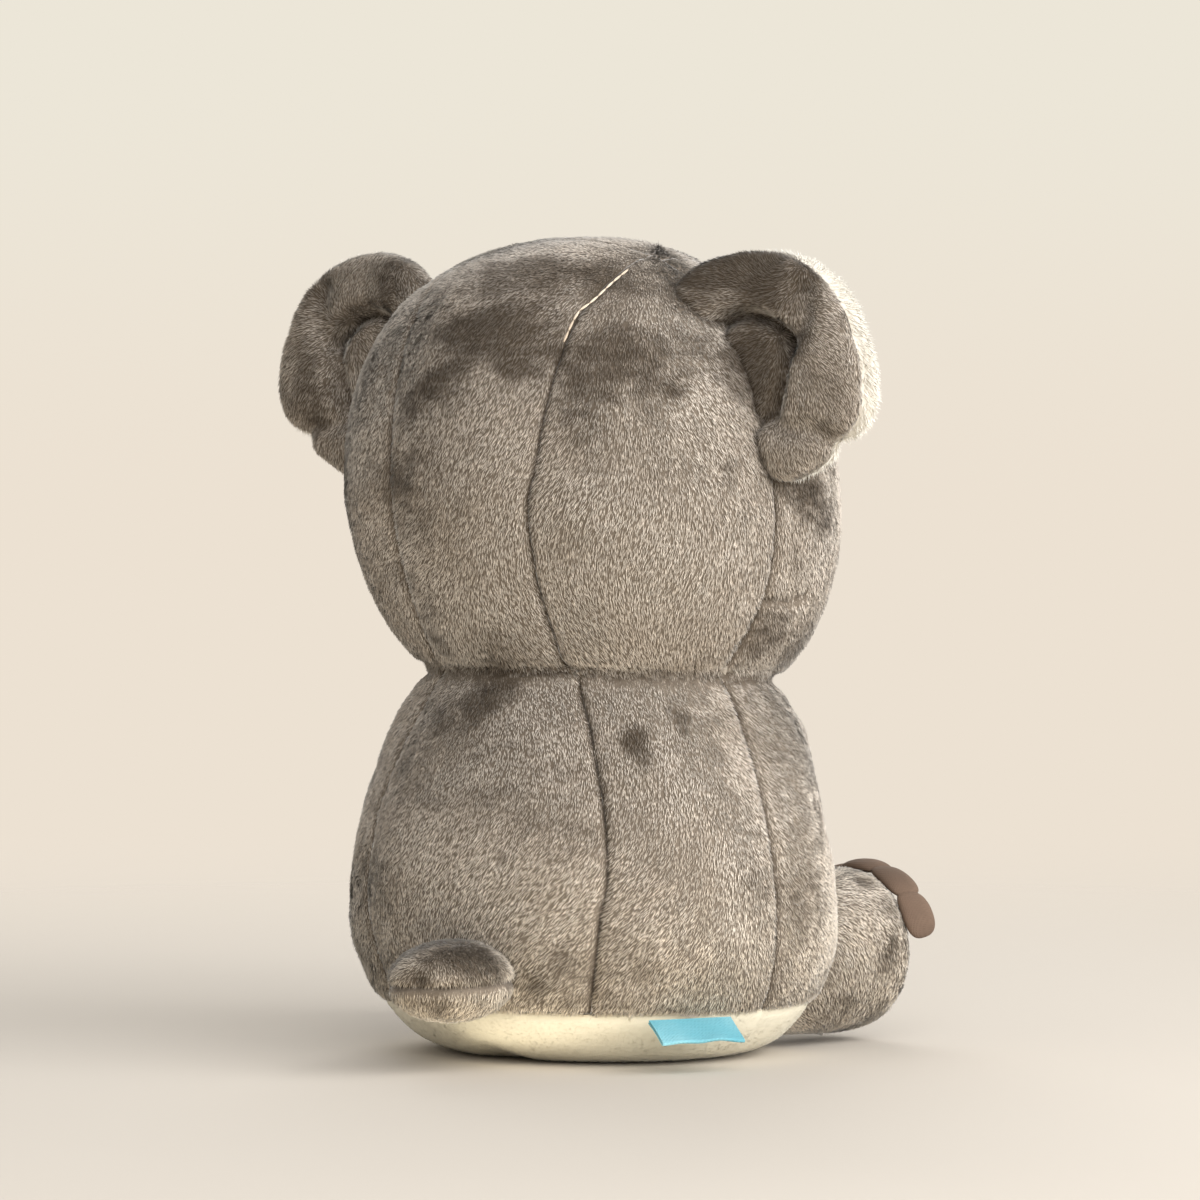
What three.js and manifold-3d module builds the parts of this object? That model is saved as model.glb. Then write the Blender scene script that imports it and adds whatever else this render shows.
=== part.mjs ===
// A seated plush koala, sewn from cloth panels over stuffing.
// Millimetres and degrees. +Z is up, the koala faces -Y and its right side is -X.
// The origin is the centre of the flat that it sits on.
import * as THREE from "three";
import { mergeVertices } from "three/addons/utils/BufferGeometryUtils.js";
import Module from "manifold-3d";

const wasm = await Module();
wasm.setup();

// Cloth and fits
const clothThick = 2.4;
const seamGap = 0.4;
const fitGap = 0.3;
const rootGap = 0.4;
const overrun = 400;

// Body, from the flat it sits on up to the neck seam
const neckZ = 137;
const bodyHalfWidth = 92;
const bodyHalfDepth = 82;
const bodyArch = 5;
const seatFlatDepth = 0.5;
const baseSeamZ = 18.5;
const bodyOutlineShares = [
  [0, 0], [0.3, 0.001], [0.54, 0.0036], [0.7, 0.03], [0.85, 0.09], [0.93, 0.137],
  [0.97, 0.2], [1, 0.31], [0.998, 0.42], [0.98, 0.53], [0.945, 0.64], [0.89, 0.77],
  [0.815, 0.9], [0.74, 1], [0.69, 1.06], [0, 1.08],
];

// Head, standing on the neck seam
const headRise = 63;
const crownHeight = 99;
const jawDepth = 98;
const headHalfWidth = 93;
const headHalfDepth = 85;
const headLean = 12;
const crownFullness = 2.25;
const crownBackFullness = 0.25;
const jawFullness = 1.85;
const jawBackFullness = 0.22;
const headMiddleZ = neckZ + headRise;
const headTopZ = headMiddleZ + crownHeight;
const headBottomZ = headMiddleZ - jawDepth;

// Seams of the head: two down the back, one across through the ears, two down the face
const backSeamLeftX = 41;
const backSeamRightX = 24;
const earSeamY = 17;
const faceSeamX = 30;

// Seams of the body, degrees from the middle of the back
const backSeamRightDegrees = 34;
const backSeamLeftDegrees = 40;
const sideSeamRightDegrees = 81;
const sideSeamLeftDegrees = 87;
const bellySeamDegrees = 130;

// Pellet pouch in the seat
const pouchHalfWidth = 52;
const pouchHeight = 20;

// Ear, a rounded slab in the plane of the ear seam
const earSink = 12;
const earRise = 50;
const earHalfWidth = 44;
const earHalfHeight = 44;
const earThick = 26;
const earRimRound = 12;
const earSeamDepth = 9;
const earOutlineShares = [
  [-0.69, 0.9], [-0.06, 0.98], [0.34, 0.88], [0.63, 0.66], [0.84, 0.34], [0.97, -0.03],
  [0.97, -0.34], [0.86, -0.58], [0.6, -0.72], [0.38, -0.86], [0.06, -1], [-0.5, -0.75],
  [-1.06, -0.16], [-1.1, 0.5],
];
const earHingeTopShares = [-0.59, 0.27, 0.59];
const earHingeFootShares = [0.09, 0.04, -0.86];
const earSwing = [-12, 16];
const earMiddle = [headHalfWidth - earSink, earSeamY, headMiddleZ + earRise];

// Arm, from the shoulder to the middle of the paw
const shoulderShares = [0.54, -0.54, 0.82];
const armReach = [-25, -48, -30];
const armRadius = 16.5;
const armSwing = [-20, 10];
const armOutlineShares = [
  [0, -0.3], [0.55, -0.24], [0.84, -0.06], [0.92, 0.2], [0.97, 0.5], [1, 0.8],
  [0.97, 1], [0.82, 1.17], [0.5, 1.28], [0, 1.32],
];

// Leg, from the hip to the sole
const legRadius = 32;
const heelClearance = 1.5;
const hipShares = [0.47, -0.46];
const legReach = [16, -57, 0];
const legSwing = [-12, 0];
const legOutlineShares = [
  [0, -0.3], [0.6, -0.26], [0.88, -0.08], [0.95, 0.2], [0.98, 0.5], [1, 0.75],
  [0.985, 0.9], [0.92, 1], [0, 1],
];
const solePuff = 5;
const soleOutlineShares = [[0, 0], [0.92, 0], [0.9, 0.3], [0.78, 0.68], [0.5, 0.92], [0, 1]];

// Claws, a scalloped strip of felt
const clawCount = 5;
const clawThick = 3.4;
const footClawWidth = 17;
const footClawLength = 12;
const footClawRoot = 4;
const footClawStepDegrees = 31;
const footClawRingShare = 0.88;
const handClawWidth = 8.6;
const handClawLength = 7;
const handClawRoot = 5;
const handClawStepDegrees = 30;
const handClawRingShare = 0.82;

// Tail
const tailZ = 33;
const tailStandOff = 8;
const tailHingeDepth = 2;
const tailHalf = [19, 29, 16];
const tailSwing = [-10, 10];

// Eyes, with a shank through the cloth and a washer behind it
const eyeX = 35;
const eyeRise = 6;
const eyeRadius = 6.5;
const eyeDome = 4.2;
const eyeSeat = 0.6;
const shankRadius = 2.2;
const shankLength = 15;
const washerRadius = 8;
const washerThick = 1.4;
const washerSeat = 1.5;

// Nose and mouth
const noseDrop = 13;
const noseHalf = [16, 11, 20];
const mouthDrop = 42;
const mouthHalfWidth = 12;
const mouthSag = 5;
const stitchRadius = 0.8;

// Label, a bare ribbon folded into a loop and caught in the base seam
const labelHeadingDegrees = 56;
const labelWidth = 32;
const labelLength = 14;
const ribbonThick = 0.4;
const ribbonSpace = 0.4;
const labelStandOff = 0.95;
const labelDroopDegrees = 28;

// Facet counts
const formRounds = 36;
const formRings = 18;
const coreRounds = 28;
const coreRings = 14;
const limbRounds = 20;
const limbRings = 10;
const smallRounds = 12;
const clawRounds = 4;
const earRounds = 28;

const plushGrey = { color: 0x8d8378, roughness: 0.95, metalness: 0 };
const plushCream = { color: 0xeae2cf, roughness: 0.9, metalness: 0 };
const plushWhite = { color: 0xf4f1ea, roughness: 0.95, metalness: 0 };
const feltBrown = { color: 0x7d675b, roughness: 0.9, metalness: 0 };
const noseBlack = { color: 0x2a2625, roughness: 0.7, metalness: 0 };
const eyeBlack = { color: 0x0c0a09, roughness: 0.1, metalness: 0 };
const fillWhite = { color: 0xf2f0ec, roughness: 1, metalness: 0 };
const pouchTan = { color: 0xcbbfa9, roughness: 0.95, metalness: 0 };
const washerWhite = { color: 0xe9e9e6, roughness: 0.5, metalness: 0 };
const ribbonTeal = { color: 0x55b9cc, roughness: 0.6, metalness: 0 };
const threadBrown = { color: 0x4a3d36, roughness: 0.9, metalness: 0 };

const koala = new THREE.Group();
const rightSide = ([x, y, z]) => new THREE.Vector3(-x, y, z);
const radians = THREE.MathUtils.degToRad;

function solidOf(geometry) {
  const bare = geometry.clone();
  bare.deleteAttribute("normal");
  bare.deleteAttribute("uv");
  const merged = mergeVertices(bare);
  const triVerts = new Uint32Array(merged.index.array);
  const vertProperties = merged.attributes.position.array;
  const made = new wasm.Manifold(new wasm.Mesh({ numProp: 3, vertProperties, triVerts }));
  if (made.volume() > 0) return made;
  for (let i = 0; i < triVerts.length; i += 3) {
    [triVerts[i + 1], triVerts[i + 2]] = [triVerts[i + 2], triVerts[i + 1]];
  }
  return new wasm.Manifold(new wasm.Mesh({ numProp: 3, vertProperties, triVerts }));
}

function geometryOf(solid) {
  const mesh = solid.getMesh();
  const geometry = new THREE.BufferGeometry();
  geometry.setAttribute("position", new THREE.BufferAttribute(mesh.vertProperties, 3));
  geometry.setIndex(new THREE.BufferAttribute(mesh.triVerts, 1));
  geometry.computeVertexNormals();
  return geometry;
}

function addPiece(name, solid, finish, mirrored = false) {
  const mesh = new THREE.Mesh(geometryOf(solid), new THREE.MeshStandardMaterial(finish));
  mesh.name = name;
  if (mirrored) mesh.scale.x = -1;
  koala.add(mesh);
}

function addPair(name, solid, finish) {
  addPiece(`${name}_right`, solid, finish);
  addPiece(`${name}_left`, solid, finish, true);
}

// Moves every vertex of a geometry to where the given function puts it.
function warped(geometry, place) {
  const points = geometry.attributes.position;
  const point = new THREE.Vector3();
  for (let i = 0; i < points.count; i++) {
    point.fromBufferAttribute(points, i);
    place(point);
    points.setXYZ(i, point.x, point.y, point.z);
  }
  return geometry;
}

// A box that spans the given ranges, open-ended where a range is left out.
function block({ x = [-overrun, overrun], y = [-overrun, overrun], z = [-overrun, overrun] }) {
  const box = new THREE.BoxGeometry(x[1] - x[0], y[1] - y[0], z[1] - z[0]);
  box.translate((x[0] + x[1]) / 2, (y[0] + y[1]) / 2, (z[0] + z[1]) / 2);
  return solidOf(box);
}

// An upright wedge between two angles, measured from the middle of the back towards the right.
function sector(from, to) {
  const middle = radians((from + to) / 2);
  const setBack = seamGap / 2 / Math.sin(radians((to - from) / 2));
  const shape = new THREE.Shape();
  shape.moveTo(-Math.sin(middle) * setBack, Math.cos(middle) * setBack);
  for (const angle of [radians(from), middle, radians(to)]) {
    shape.lineTo(-Math.sin(angle) * overrun, Math.cos(angle) * overrun);
  }
  const wedge = new THREE.ExtrudeGeometry(shape, { depth: overrun, bevelEnabled: false });
  return solidOf(wedge.translate(0, 0, -overrun / 2));
}

// The head swells higher at the back and lower at the cheeks, and tapers to the neck.
function headForm(inset, rounds, rings) {
  const ball = new THREE.SphereGeometry(1, rounds, rings);
  ball.rotateX(Math.PI / 2);
  return warped(ball, (point) => {
    const reach = Math.hypot(point.x, point.y);
    const back = reach > 0 ? point.y / reach : 0;
    const middle = headMiddleZ + headLean * back;
    const above = point.z > 0;
    const fullness = above ? crownFullness + crownBackFullness * back : jawFullness - jawBackFullness * back;
    const end = above ? headTopZ - inset : headBottomZ + inset;
    const swell = reach > 0 ? Math.pow(reach, 2 / fullness) / reach : 0;
    point.x *= swell * (headHalfWidth - inset);
    point.y *= swell * (headHalfDepth - inset);
    point.z = middle + (end - middle) * Math.pow(Math.abs(point.z), 2 / fullness);
  });
}

// The pear of the body: an outline turned about the upright axis, then made oval and arched.
function bodyForm(inset, rounds) {
  const lowest = inset - seatFlatDepth;
  const outline = bodyOutlineShares.map(
    ([wide, high]) => new THREE.Vector2(wide, lowest + high * (neckZ - lowest)),
  );
  const pear = new THREE.LatheGeometry(outline, rounds);
  pear.rotateX(Math.PI / 2);
  return warped(pear, (point) => {
    const fromMiddle = (2 * point.z) / neckZ - 1;
    point.x *= bodyHalfWidth - inset;
    point.y = point.y * (bodyHalfDepth - inset) - bodyArch * fromMiddle * fromMiddle;
  });
}

// A limb: an outline of width and length shares turned about the line between two points.
function limbForm(outlineShares, radius, from, to, clearance = 0) {
  const along = new THREE.Vector3().subVectors(to, from);
  const length = along.length();
  const outline = outlineShares.map(
    ([wide, far]) => new THREE.Vector2(wide * (radius + clearance), far * length),
  );
  const limb = new THREE.LatheGeometry(outline, limbRounds);
  const turn = new THREE.Quaternion().setFromUnitVectors(
    new THREE.Vector3(0, 1, 0),
    along.normalize(),
  );
  return limb.applyQuaternion(turn).translate(from.x, from.y, from.z);
}

function turned(geometry, at, axis, degrees) {
  return geometry
    .clone()
    .translate(-at.x, -at.y, -at.z)
    .applyMatrix4(new THREE.Matrix4().makeRotationAxis(axis, radians(degrees)))
    .translate(at.x, at.y, at.z);
}

// Cuts a moving piece by what carries it, at rest and at both ends of its swing.
function cutAtRoot(solid, carriers, at, axis, swing) {
  let cut = solid;
  for (const degrees of new Set([0, ...swing])) {
    for (const carrier of carriers) {
      cut = cut.subtract(solidOf(turned(carrier, at, axis, -degrees)));
    }
  }
  return cut;
}

function largest(solid) {
  return solid.decompose().reduce((best, part) => (part.volume() > best.volume() ? part : best));
}

const headSkin = headForm(0, formRounds, formRings);
const bodySkin = bodyForm(0, formRounds);
const headRoom = headForm(-rootGap, formRounds, formRings);
const bodyRoom = bodyForm(-rootGap, formRounds);
const aboveNeck = block({ z: [neckZ + seamGap / 2, overrun] });
const belowNeck = block({ z: [-overrun, neckZ - seamGap / 2] });

// A point on the front of the head, with the cloth's outward direction there.
function onFace(x, z) {
  const skin = new THREE.Mesh(headSkin, new THREE.MeshStandardMaterial({ side: THREE.DoubleSide }));
  const ray = new THREE.Raycaster(new THREE.Vector3(x, -overrun, z), new THREE.Vector3(0, 1, 0));
  const hit = ray.intersectObject(skin)[0];
  const out = hit.face.normal.clone();
  if (out.y > 0) out.negate();
  return { point: hit.point, out };
}

// Places a geometry made along +Y so that it stands on the face.
function standOnFace(geometry, { point, out }) {
  const turn = new THREE.Quaternion().setFromUnitVectors(new THREE.Vector3(0, 1, 0), out);
  return geometry.clone().applyQuaternion(turn).translate(point.x, point.y, point.z);
}

function lathed(points, rounds = smallRounds) {
  return new THREE.LatheGeometry(points.map(([r, y]) => new THREE.Vector2(r, y)), rounds);
}

function eyeForm() {
  const dome = [0, 22.5, 45, 67.5].map((rise) => [
    eyeRadius * Math.cos(radians(rise)),
    eyeSeat + eyeDome * Math.sin(radians(rise)),
  ]);
  const shank = [[0, -shankLength], [shankRadius, -shankLength], [shankRadius, eyeSeat]];
  return lathed([...shank, ...dome, [0, eyeSeat + eyeDome]]);
}

function washerForm() {
  const near = -clothThick - washerSeat;
  return lathed([
    [shankRadius + fitGap, near],
    [shankRadius + fitGap, near - washerThick],
    [washerRadius, near - washerThick],
    [washerRadius, near],
    [shankRadius + fitGap, near],
  ]);
}

// A hole for the shank, and the pocket in the stuffing that takes shank and washer.
function eyeHole() {
  return new THREE.CylinderGeometry(shankRadius + fitGap, shankRadius + fitGap, shankLength, smallRounds);
}

function eyePocket() {
  const radius = washerRadius + fitGap;
  const depth = 2 * (shankLength + fitGap);
  return new THREE.CylinderGeometry(radius, radius, depth, smallRounds);
}

function addHead() {
  const core = solidOf(headForm(clothThick, coreRounds, coreRings));
  let shell = solidOf(headSkin).subtract(core).intersect(aboveNeck);
  let fill = solidOf(headForm(clothThick + fitGap, coreRounds, coreRings)).intersect(aboveNeck);
  for (const side of [-1, 1]) {
    const seat = onFace(side * eyeX, headMiddleZ + eyeRise);
    shell = shell.subtract(solidOf(standOnFace(eyeHole(), seat)));
    fill = fill.subtract(solidOf(standOnFace(eyePocket(), seat)));
  }
  const gap = seamGap / 2;
  const behind = [earSeamY + gap, overrun];
  const before = [-overrun, earSeamY - gap];
  const panels = {
    head_back_gusset: { x: [-backSeamRightX + gap, backSeamLeftX - gap], y: behind },
    head_back_right: { x: [-overrun, -backSeamRightX - gap], y: behind },
    head_back_left: { x: [backSeamLeftX + gap, overrun], y: behind },
    face_centre: { x: [-faceSeamX + gap, faceSeamX - gap], y: before },
    cheek_right: { x: [-overrun, -faceSeamX - gap], y: before },
    cheek_left: { x: [faceSeamX + gap, overrun], y: before },
  };
  for (const [name, ranges] of Object.entries(panels)) {
    addPiece(name, shell.intersect(block(ranges)), plushGrey);
  }
  addPiece("head_stuffing", fill, fillWhite);
}

function addFace() {
  for (const [name, x] of [["right", -eyeX], ["left", eyeX]]) {
    const seat = onFace(x, headMiddleZ + eyeRise);
    addPiece(`eye_${name}`, solidOf(standOnFace(eyeForm(), seat)), eyeBlack);
    addPiece(`eye_washer_${name}`, solidOf(standOnFace(washerForm(), seat)), washerWhite);
  }
  const bridge = onFace(0, headMiddleZ - noseDrop).point;
  const ball = new THREE.SphereGeometry(1, limbRounds, limbRings);
  ball.scale(...noseHalf).translate(bridge.x, bridge.y, bridge.z);
  addPiece("nose", solidOf(ball).subtract(solidOf(headRoom)), noseBlack);
  addPiece("mouth_stitch", mouthStitch(), threadBrown);
}

// A thread along a shallow smile, its axis just clear of the cloth.
function mouthStitch() {
  const stationShares = [-1, -0.5, 0, 0.5, 1];
  const mouthZ = headMiddleZ - mouthDrop;
  const line = new THREE.CatmullRomCurve3(
    stationShares.map((share) => {
      const { point, out } = onFace(share * mouthHalfWidth, mouthZ + mouthSag * share * share);
      return point.addScaledVector(out, stitchRadius + rootGap);
    }),
  );
  const section = new THREE.Shape().absarc(0, 0, stitchRadius, 0, 2 * Math.PI);
  const sides = 4;
  return solidOf(
    new THREE.ExtrudeGeometry(section, { steps: smallRounds, curveSegments: sides, extrudePath: line }),
  );
}

function addBody() {
  const core = solidOf(bodyForm(clothThick, coreRounds));
  const gap = seamGap / 2;
  const shell = solidOf(bodySkin).subtract(core).intersect(belowNeck);
  const base = shell.intersect(block({ z: [0, baseSeamZ - gap] }));
  const wall = shell.intersect(block({ z: [baseSeamZ + gap, overrun] }));
  addPiece("base_panel", base, plushCream);
  const panels = [
    ["body_back_panel", -backSeamLeftDegrees, backSeamRightDegrees, plushGrey],
    ["body_side_right", backSeamRightDegrees, sideSeamRightDegrees, plushGrey],
    ["body_front_right", sideSeamRightDegrees, bellySeamDegrees, plushGrey],
    ["belly_panel", bellySeamDegrees, 360 - bellySeamDegrees, plushCream],
    ["body_front_left", 360 - bellySeamDegrees, 360 - sideSeamLeftDegrees, plushGrey],
    ["body_side_left", 360 - sideSeamLeftDegrees, 360 - backSeamLeftDegrees, plushGrey],
  ];
  for (const [name, from, to, finish] of panels) {
    addPiece(name, wall.intersect(sector(from, to)), finish);
  }
  const stuffing = solidOf(bodyForm(clothThick + fitGap, coreRounds)).intersect(belowNeck);
  addPiece("body_stuffing", stuffing.subtract(pouch(fitGap)), fillWhite);
  addPiece("pellet_pouch", pouch(0).intersect(stuffing), pouchTan);
}

function pouch(clearance) {
  const ball = new THREE.SphereGeometry(1, limbRounds, limbRings);
  const half = pouchHalfWidth + clearance;
  ball.rotateX(Math.PI / 2);
  ball.scale(half, half, pouchHeight + clearance);
  return solidOf(ball.translate(0, -bodyArch, clothThick));
}

// The ear's rounded slab, made flat and stood up in the plane of the ear seam.
function earForm() {
  const flatHalfWidth = earHalfWidth - earRimRound;
  const flatHalfHeight = earHalfHeight - earRimRound;
  const outline = new THREE.Shape().setFromPoints(
    new THREE.SplineCurve(
      [...earOutlineShares, earOutlineShares[0]].map(
        ([out, up]) => new THREE.Vector2(out * flatHalfWidth, up * flatHalfHeight),
      ),
    ).getPoints(earRounds),
  );
  const slab = new THREE.ExtrudeGeometry(outline, {
    depth: earThick - 2 * earRimRound,
    bevelThickness: earRimRound,
    bevelSize: earRimRound,
    bevelSegments: 4,
  });
  slab.translate(0, 0, earRimRound - earThick / 2);
  slab.rotateX(Math.PI / 2).rotateZ(Math.PI);
  slab.scale(1, 1, -1);
  const middle = rightSide(earMiddle);
  return slab.translate(middle.x, middle.y, middle.z);
}

// A point of the right ear's root seam, from its shares of the ear's size.
function earHinge([out, behind, up]) {
  const offset = [out * earHalfWidth, behind * earThick, up * earHalfHeight];
  return rightSide(earMiddle).add(rightSide(offset));
}

function addEars() {
  const top = earHinge(earHingeTopShares);
  const axis = earHinge(earHingeFootShares).sub(top).normalize();
  const ear = cutAtRoot(solidOf(earForm()), [headRoom], top, axis, earSwing);
  const seamY = earSeamY - earThick / 2 + earSeamDepth;
  const back = ear.intersect(block({ y: [seamY + fitGap / 2, overrun] }));
  const lining = ear.intersect(block({ y: [-overrun, seamY - fitGap / 2] }));
  addPair("ear_back", largest(back), plushGrey);
  addPair("ear_lining", largest(lining), plushWhite);
}

// One round-ended tongue of felt, lying on a limb's rim at an angle from its top.
function clawTongue(frame, { width, length, root, ring, far }, degrees) {
  const half = width / 2;
  const shape = new THREE.Shape();
  shape.moveTo(-half, -root);
  shape.lineTo(-half, length - half);
  shape.absarc(0, length - half, half, Math.PI, 0, true);
  shape.lineTo(half, -root);
  const felt = new THREE.ExtrudeGeometry(shape, {
    depth: clawThick,
    bevelEnabled: false,
    curveSegments: clawRounds,
  });
  const place = new THREE.Matrix4().makeRotationY(radians(degrees));
  felt.translate(0, far, ring).applyMatrix4(place);
  return solidOf(felt.applyMatrix4(frame));
}

// The frame of a limb: +Y along it, +Z as near to up as it goes.
function limbFrame(from, to) {
  const along = new THREE.Vector3().subVectors(to, from).normalize();
  const across = new THREE.Vector3().crossVectors(along, new THREE.Vector3(0, 0, 1)).normalize();
  const up = new THREE.Vector3().crossVectors(across, along);
  return new THREE.Matrix4().makeBasis(across, along, up).setPosition(from);
}

function clawStrip(frame, sizes, step) {
  const middle = (clawCount - 1) / 2;
  let strip = clawTongue(frame, sizes, -middle * step);
  for (let i = 1; i < clawCount; i++) {
    strip = strip.add(clawTongue(frame, sizes, (i - middle) * step));
  }
  return strip;
}

function addArms() {
  const [wide, deep, high] = shoulderShares;
  const from = rightSide([wide * bodyHalfWidth, deep * bodyHalfDepth, high * neckZ]);
  const to = rightSide(armReach).add(from);
  const across = new THREE.Vector3(1, 0, 0);
  const arm = solidOf(limbForm(armOutlineShares, armRadius, from, to));
  const carriers = [bodyRoom, headRoom];
  const armRoom = solidOf(limbForm(armOutlineShares, armRadius, from, to, fitGap));
  const sizes = {
    width: handClawWidth,
    length: handClawLength,
    root: handClawRoot,
    ring: armRadius * handClawRingShare,
    far: from.distanceTo(to) + armRadius / 2,
  };
  const claws = clawStrip(limbFrame(from, to), sizes, handClawStepDegrees).subtract(armRoom);
  addPair("arm", largest(cutAtRoot(arm, carriers, from, across, armSwing)), plushGrey);
  addPair("hand_claws", largest(claws), feltBrown);
}

function addLegs() {
  const [wide, deep] = hipShares;
  const from = rightSide([wide * bodyHalfWidth, deep * bodyHalfDepth, legRadius + heelClearance]);
  const to = rightSide(legReach).add(from);
  const across = new THREE.Vector3(1, 0, 0);
  const leg = solidOf(limbForm(legOutlineShares, legRadius, from, to));
  const legRoom = solidOf(limbForm(legOutlineShares, legRadius, from, to, fitGap));
  const out = new THREE.Vector3().subVectors(to, from).normalize();
  const soleFrom = to.clone().addScaledVector(out, fitGap);
  const soleTo = soleFrom.clone().addScaledVector(out, solePuff);
  const pad = solidOf(limbForm(soleOutlineShares, legRadius, soleFrom, soleTo));
  const padRoom = solidOf(limbForm(soleOutlineShares, legRadius, soleFrom, soleTo, fitGap));
  const sizes = {
    width: footClawWidth,
    length: footClawLength,
    root: footClawRoot,
    ring: legRadius * footClawRingShare,
    far: from.distanceTo(to),
  };
  const strip = clawStrip(limbFrame(from, to), sizes, footClawStepDegrees);
  const claws = strip.subtract(legRoom).subtract(padRoom);
  addPair("leg", largest(cutAtRoot(leg, [bodyRoom], from, across, legSwing)), plushGrey);
  addPair("foot_sole", pad, plushGrey);
  addPair("foot_claws", largest(claws), feltBrown);
}

function addTail() {
  const at = new THREE.Vector3(0, bodyHalfDepth - tailHingeDepth, tailZ);
  const ball = new THREE.SphereGeometry(1, limbRounds, limbRings);
  ball.rotateX(Math.PI / 2);
  ball.scale(...tailHalf).translate(0, bodyHalfDepth + tailStandOff, tailZ);
  const across = new THREE.Vector3(1, 0, 0);
  const tail = cutAtRoot(solidOf(ball), [bodyRoom], at, across, tailSwing);
  addPiece("tail", largest(tail), plushGrey);
}

// The folded ribbon, hung from the base seam and drooping outwards.
function addLabel() {
  const outer = ribbonThick + ribbonSpace / 2;
  const inner = ribbonSpace / 2;
  const bend = labelLength - outer;
  const loop = new THREE.Shape();
  loop.moveTo(0, -outer);
  loop.lineTo(bend, -outer);
  loop.absarc(bend, 0, outer, -Math.PI / 2, Math.PI / 2, false);
  loop.lineTo(0, outer);
  loop.lineTo(0, inner);
  loop.lineTo(bend, inner);
  loop.absarc(bend, 0, inner, Math.PI / 2, -Math.PI / 2, true);
  loop.lineTo(0, -inner);
  const ribbon = new THREE.ExtrudeGeometry(loop, {
    depth: labelWidth,
    bevelEnabled: false,
    curveSegments: clawRounds,
  });
  ribbon.translate(0, 0, -labelWidth / 2);
  ribbon.rotateZ(radians(-labelDroopDegrees)).rotateX(Math.PI / 2);
  const { point, heading } = labelSeat();
  ribbon.rotateZ(heading).translate(point.x, point.y, point.z);
  addPiece("label", solidOf(ribbon), ribbonTeal);
}

// The place in the base seam where the label is caught, and its heading round +Z from +X.
function labelSeat() {
  const heading = radians(90 + labelHeadingDegrees);
  const away = new THREE.Vector3(Math.cos(heading), Math.sin(heading), 0);
  const skin = new THREE.Mesh(bodySkin, new THREE.MeshStandardMaterial({ side: THREE.DoubleSide }));
  const axis = new THREE.Vector3(0, -bodyArch / 2, baseSeamZ);
  const hit = new THREE.Raycaster(axis, away).intersectObject(skin)[0];
  return { point: hit.point.addScaledVector(away, labelStandOff), heading };
}

addHead();
addFace();
addBody();
addEars();
addArms();
addLegs();
addTail();
addLabel();

export default koala;
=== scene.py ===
import math

import bmesh
import bpy
from mathutils import Matrix, Vector, noise
from mathutils.bvhtree import BVHTree
from mathutils.kdtree import KDTree


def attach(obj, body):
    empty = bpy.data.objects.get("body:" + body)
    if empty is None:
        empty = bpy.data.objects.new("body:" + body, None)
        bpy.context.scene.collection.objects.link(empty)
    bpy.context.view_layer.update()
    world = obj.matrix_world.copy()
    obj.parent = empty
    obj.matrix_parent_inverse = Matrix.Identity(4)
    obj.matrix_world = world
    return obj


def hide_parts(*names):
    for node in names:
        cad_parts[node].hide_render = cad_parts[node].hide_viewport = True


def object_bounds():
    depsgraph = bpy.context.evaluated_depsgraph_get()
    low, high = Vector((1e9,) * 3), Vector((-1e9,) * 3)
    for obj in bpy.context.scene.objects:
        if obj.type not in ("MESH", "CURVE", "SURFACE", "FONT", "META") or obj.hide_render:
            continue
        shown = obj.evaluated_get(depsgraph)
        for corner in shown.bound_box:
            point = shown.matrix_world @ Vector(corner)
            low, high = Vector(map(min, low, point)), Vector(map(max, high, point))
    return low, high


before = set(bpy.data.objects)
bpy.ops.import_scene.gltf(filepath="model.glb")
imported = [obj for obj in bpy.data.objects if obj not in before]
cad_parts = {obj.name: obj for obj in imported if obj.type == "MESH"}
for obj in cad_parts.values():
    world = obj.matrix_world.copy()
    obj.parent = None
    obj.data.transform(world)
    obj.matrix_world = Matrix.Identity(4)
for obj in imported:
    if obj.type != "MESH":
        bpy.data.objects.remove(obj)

cadLow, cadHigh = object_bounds()
scene = bpy.context.scene
scene.view_settings.view_transform = "Standard"


# Photo camera, lights and floor

studio = {
    "azimuth": 212,
    "distance": 2.5,
    "cameraHeight": 0.268,
    "aimRight": 0.0029,
    "aimHeight": 0.165,
    "lens": 205.5,
    "sensor": 36,
    # the backdrop as it shows, with the heights of view where one colour gives way to the other
    "low": "ece1d2",
    "high": "ece6d8",
    "backdropFade": (-0.03, 0.04),
    "skyHigh": (1, 0.985, 0.955),
    "skyLow": (1, 0.86, 0.64),
    "skyFade": (-0.1, 0.35),
    "skyStrength": 0.5,
    "floorColour": (0.6, 0.558, 0.505),
    "floorPatch": 0.985,
    "floorGrain": 3.0,
    "floorRough": 0.9,
    "floorShine": 0.1,
    "floorRadius": 2,
    "floorSides": 64,
    "floorFade": (0.25, 1.1),
    "lamps": [
        # name, azimuth, height angle, distance, size, watts, colour
        ("keyLight", 272, 20, 1.6, 1.5, 34, (1, 0.985, 0.96)),
        ("fillLight", 222, 32, 2.2, 1.6, 22, (1, 0.975, 0.94)),
        ("backLight", 40, 30, 2.0, 1.4, 20, (1, 0.98, 0.95)),
    ],
    # a card on the floor before the toy that throws light up at it
    "cardReach": 0.25,
    "cardLift": 0.003,
    "cardSize": 0.3,
    "cardWatts": 0.3,
    "cardColour": (1, 0.9, 0.7),
}


def around(azimuth, elevation, distance):
    turn, rise = math.radians(azimuth), math.radians(elevation)
    level = math.cos(rise) * distance
    return Vector((math.sin(turn) * level, -math.cos(turn) * level, math.sin(rise) * distance))


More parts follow.
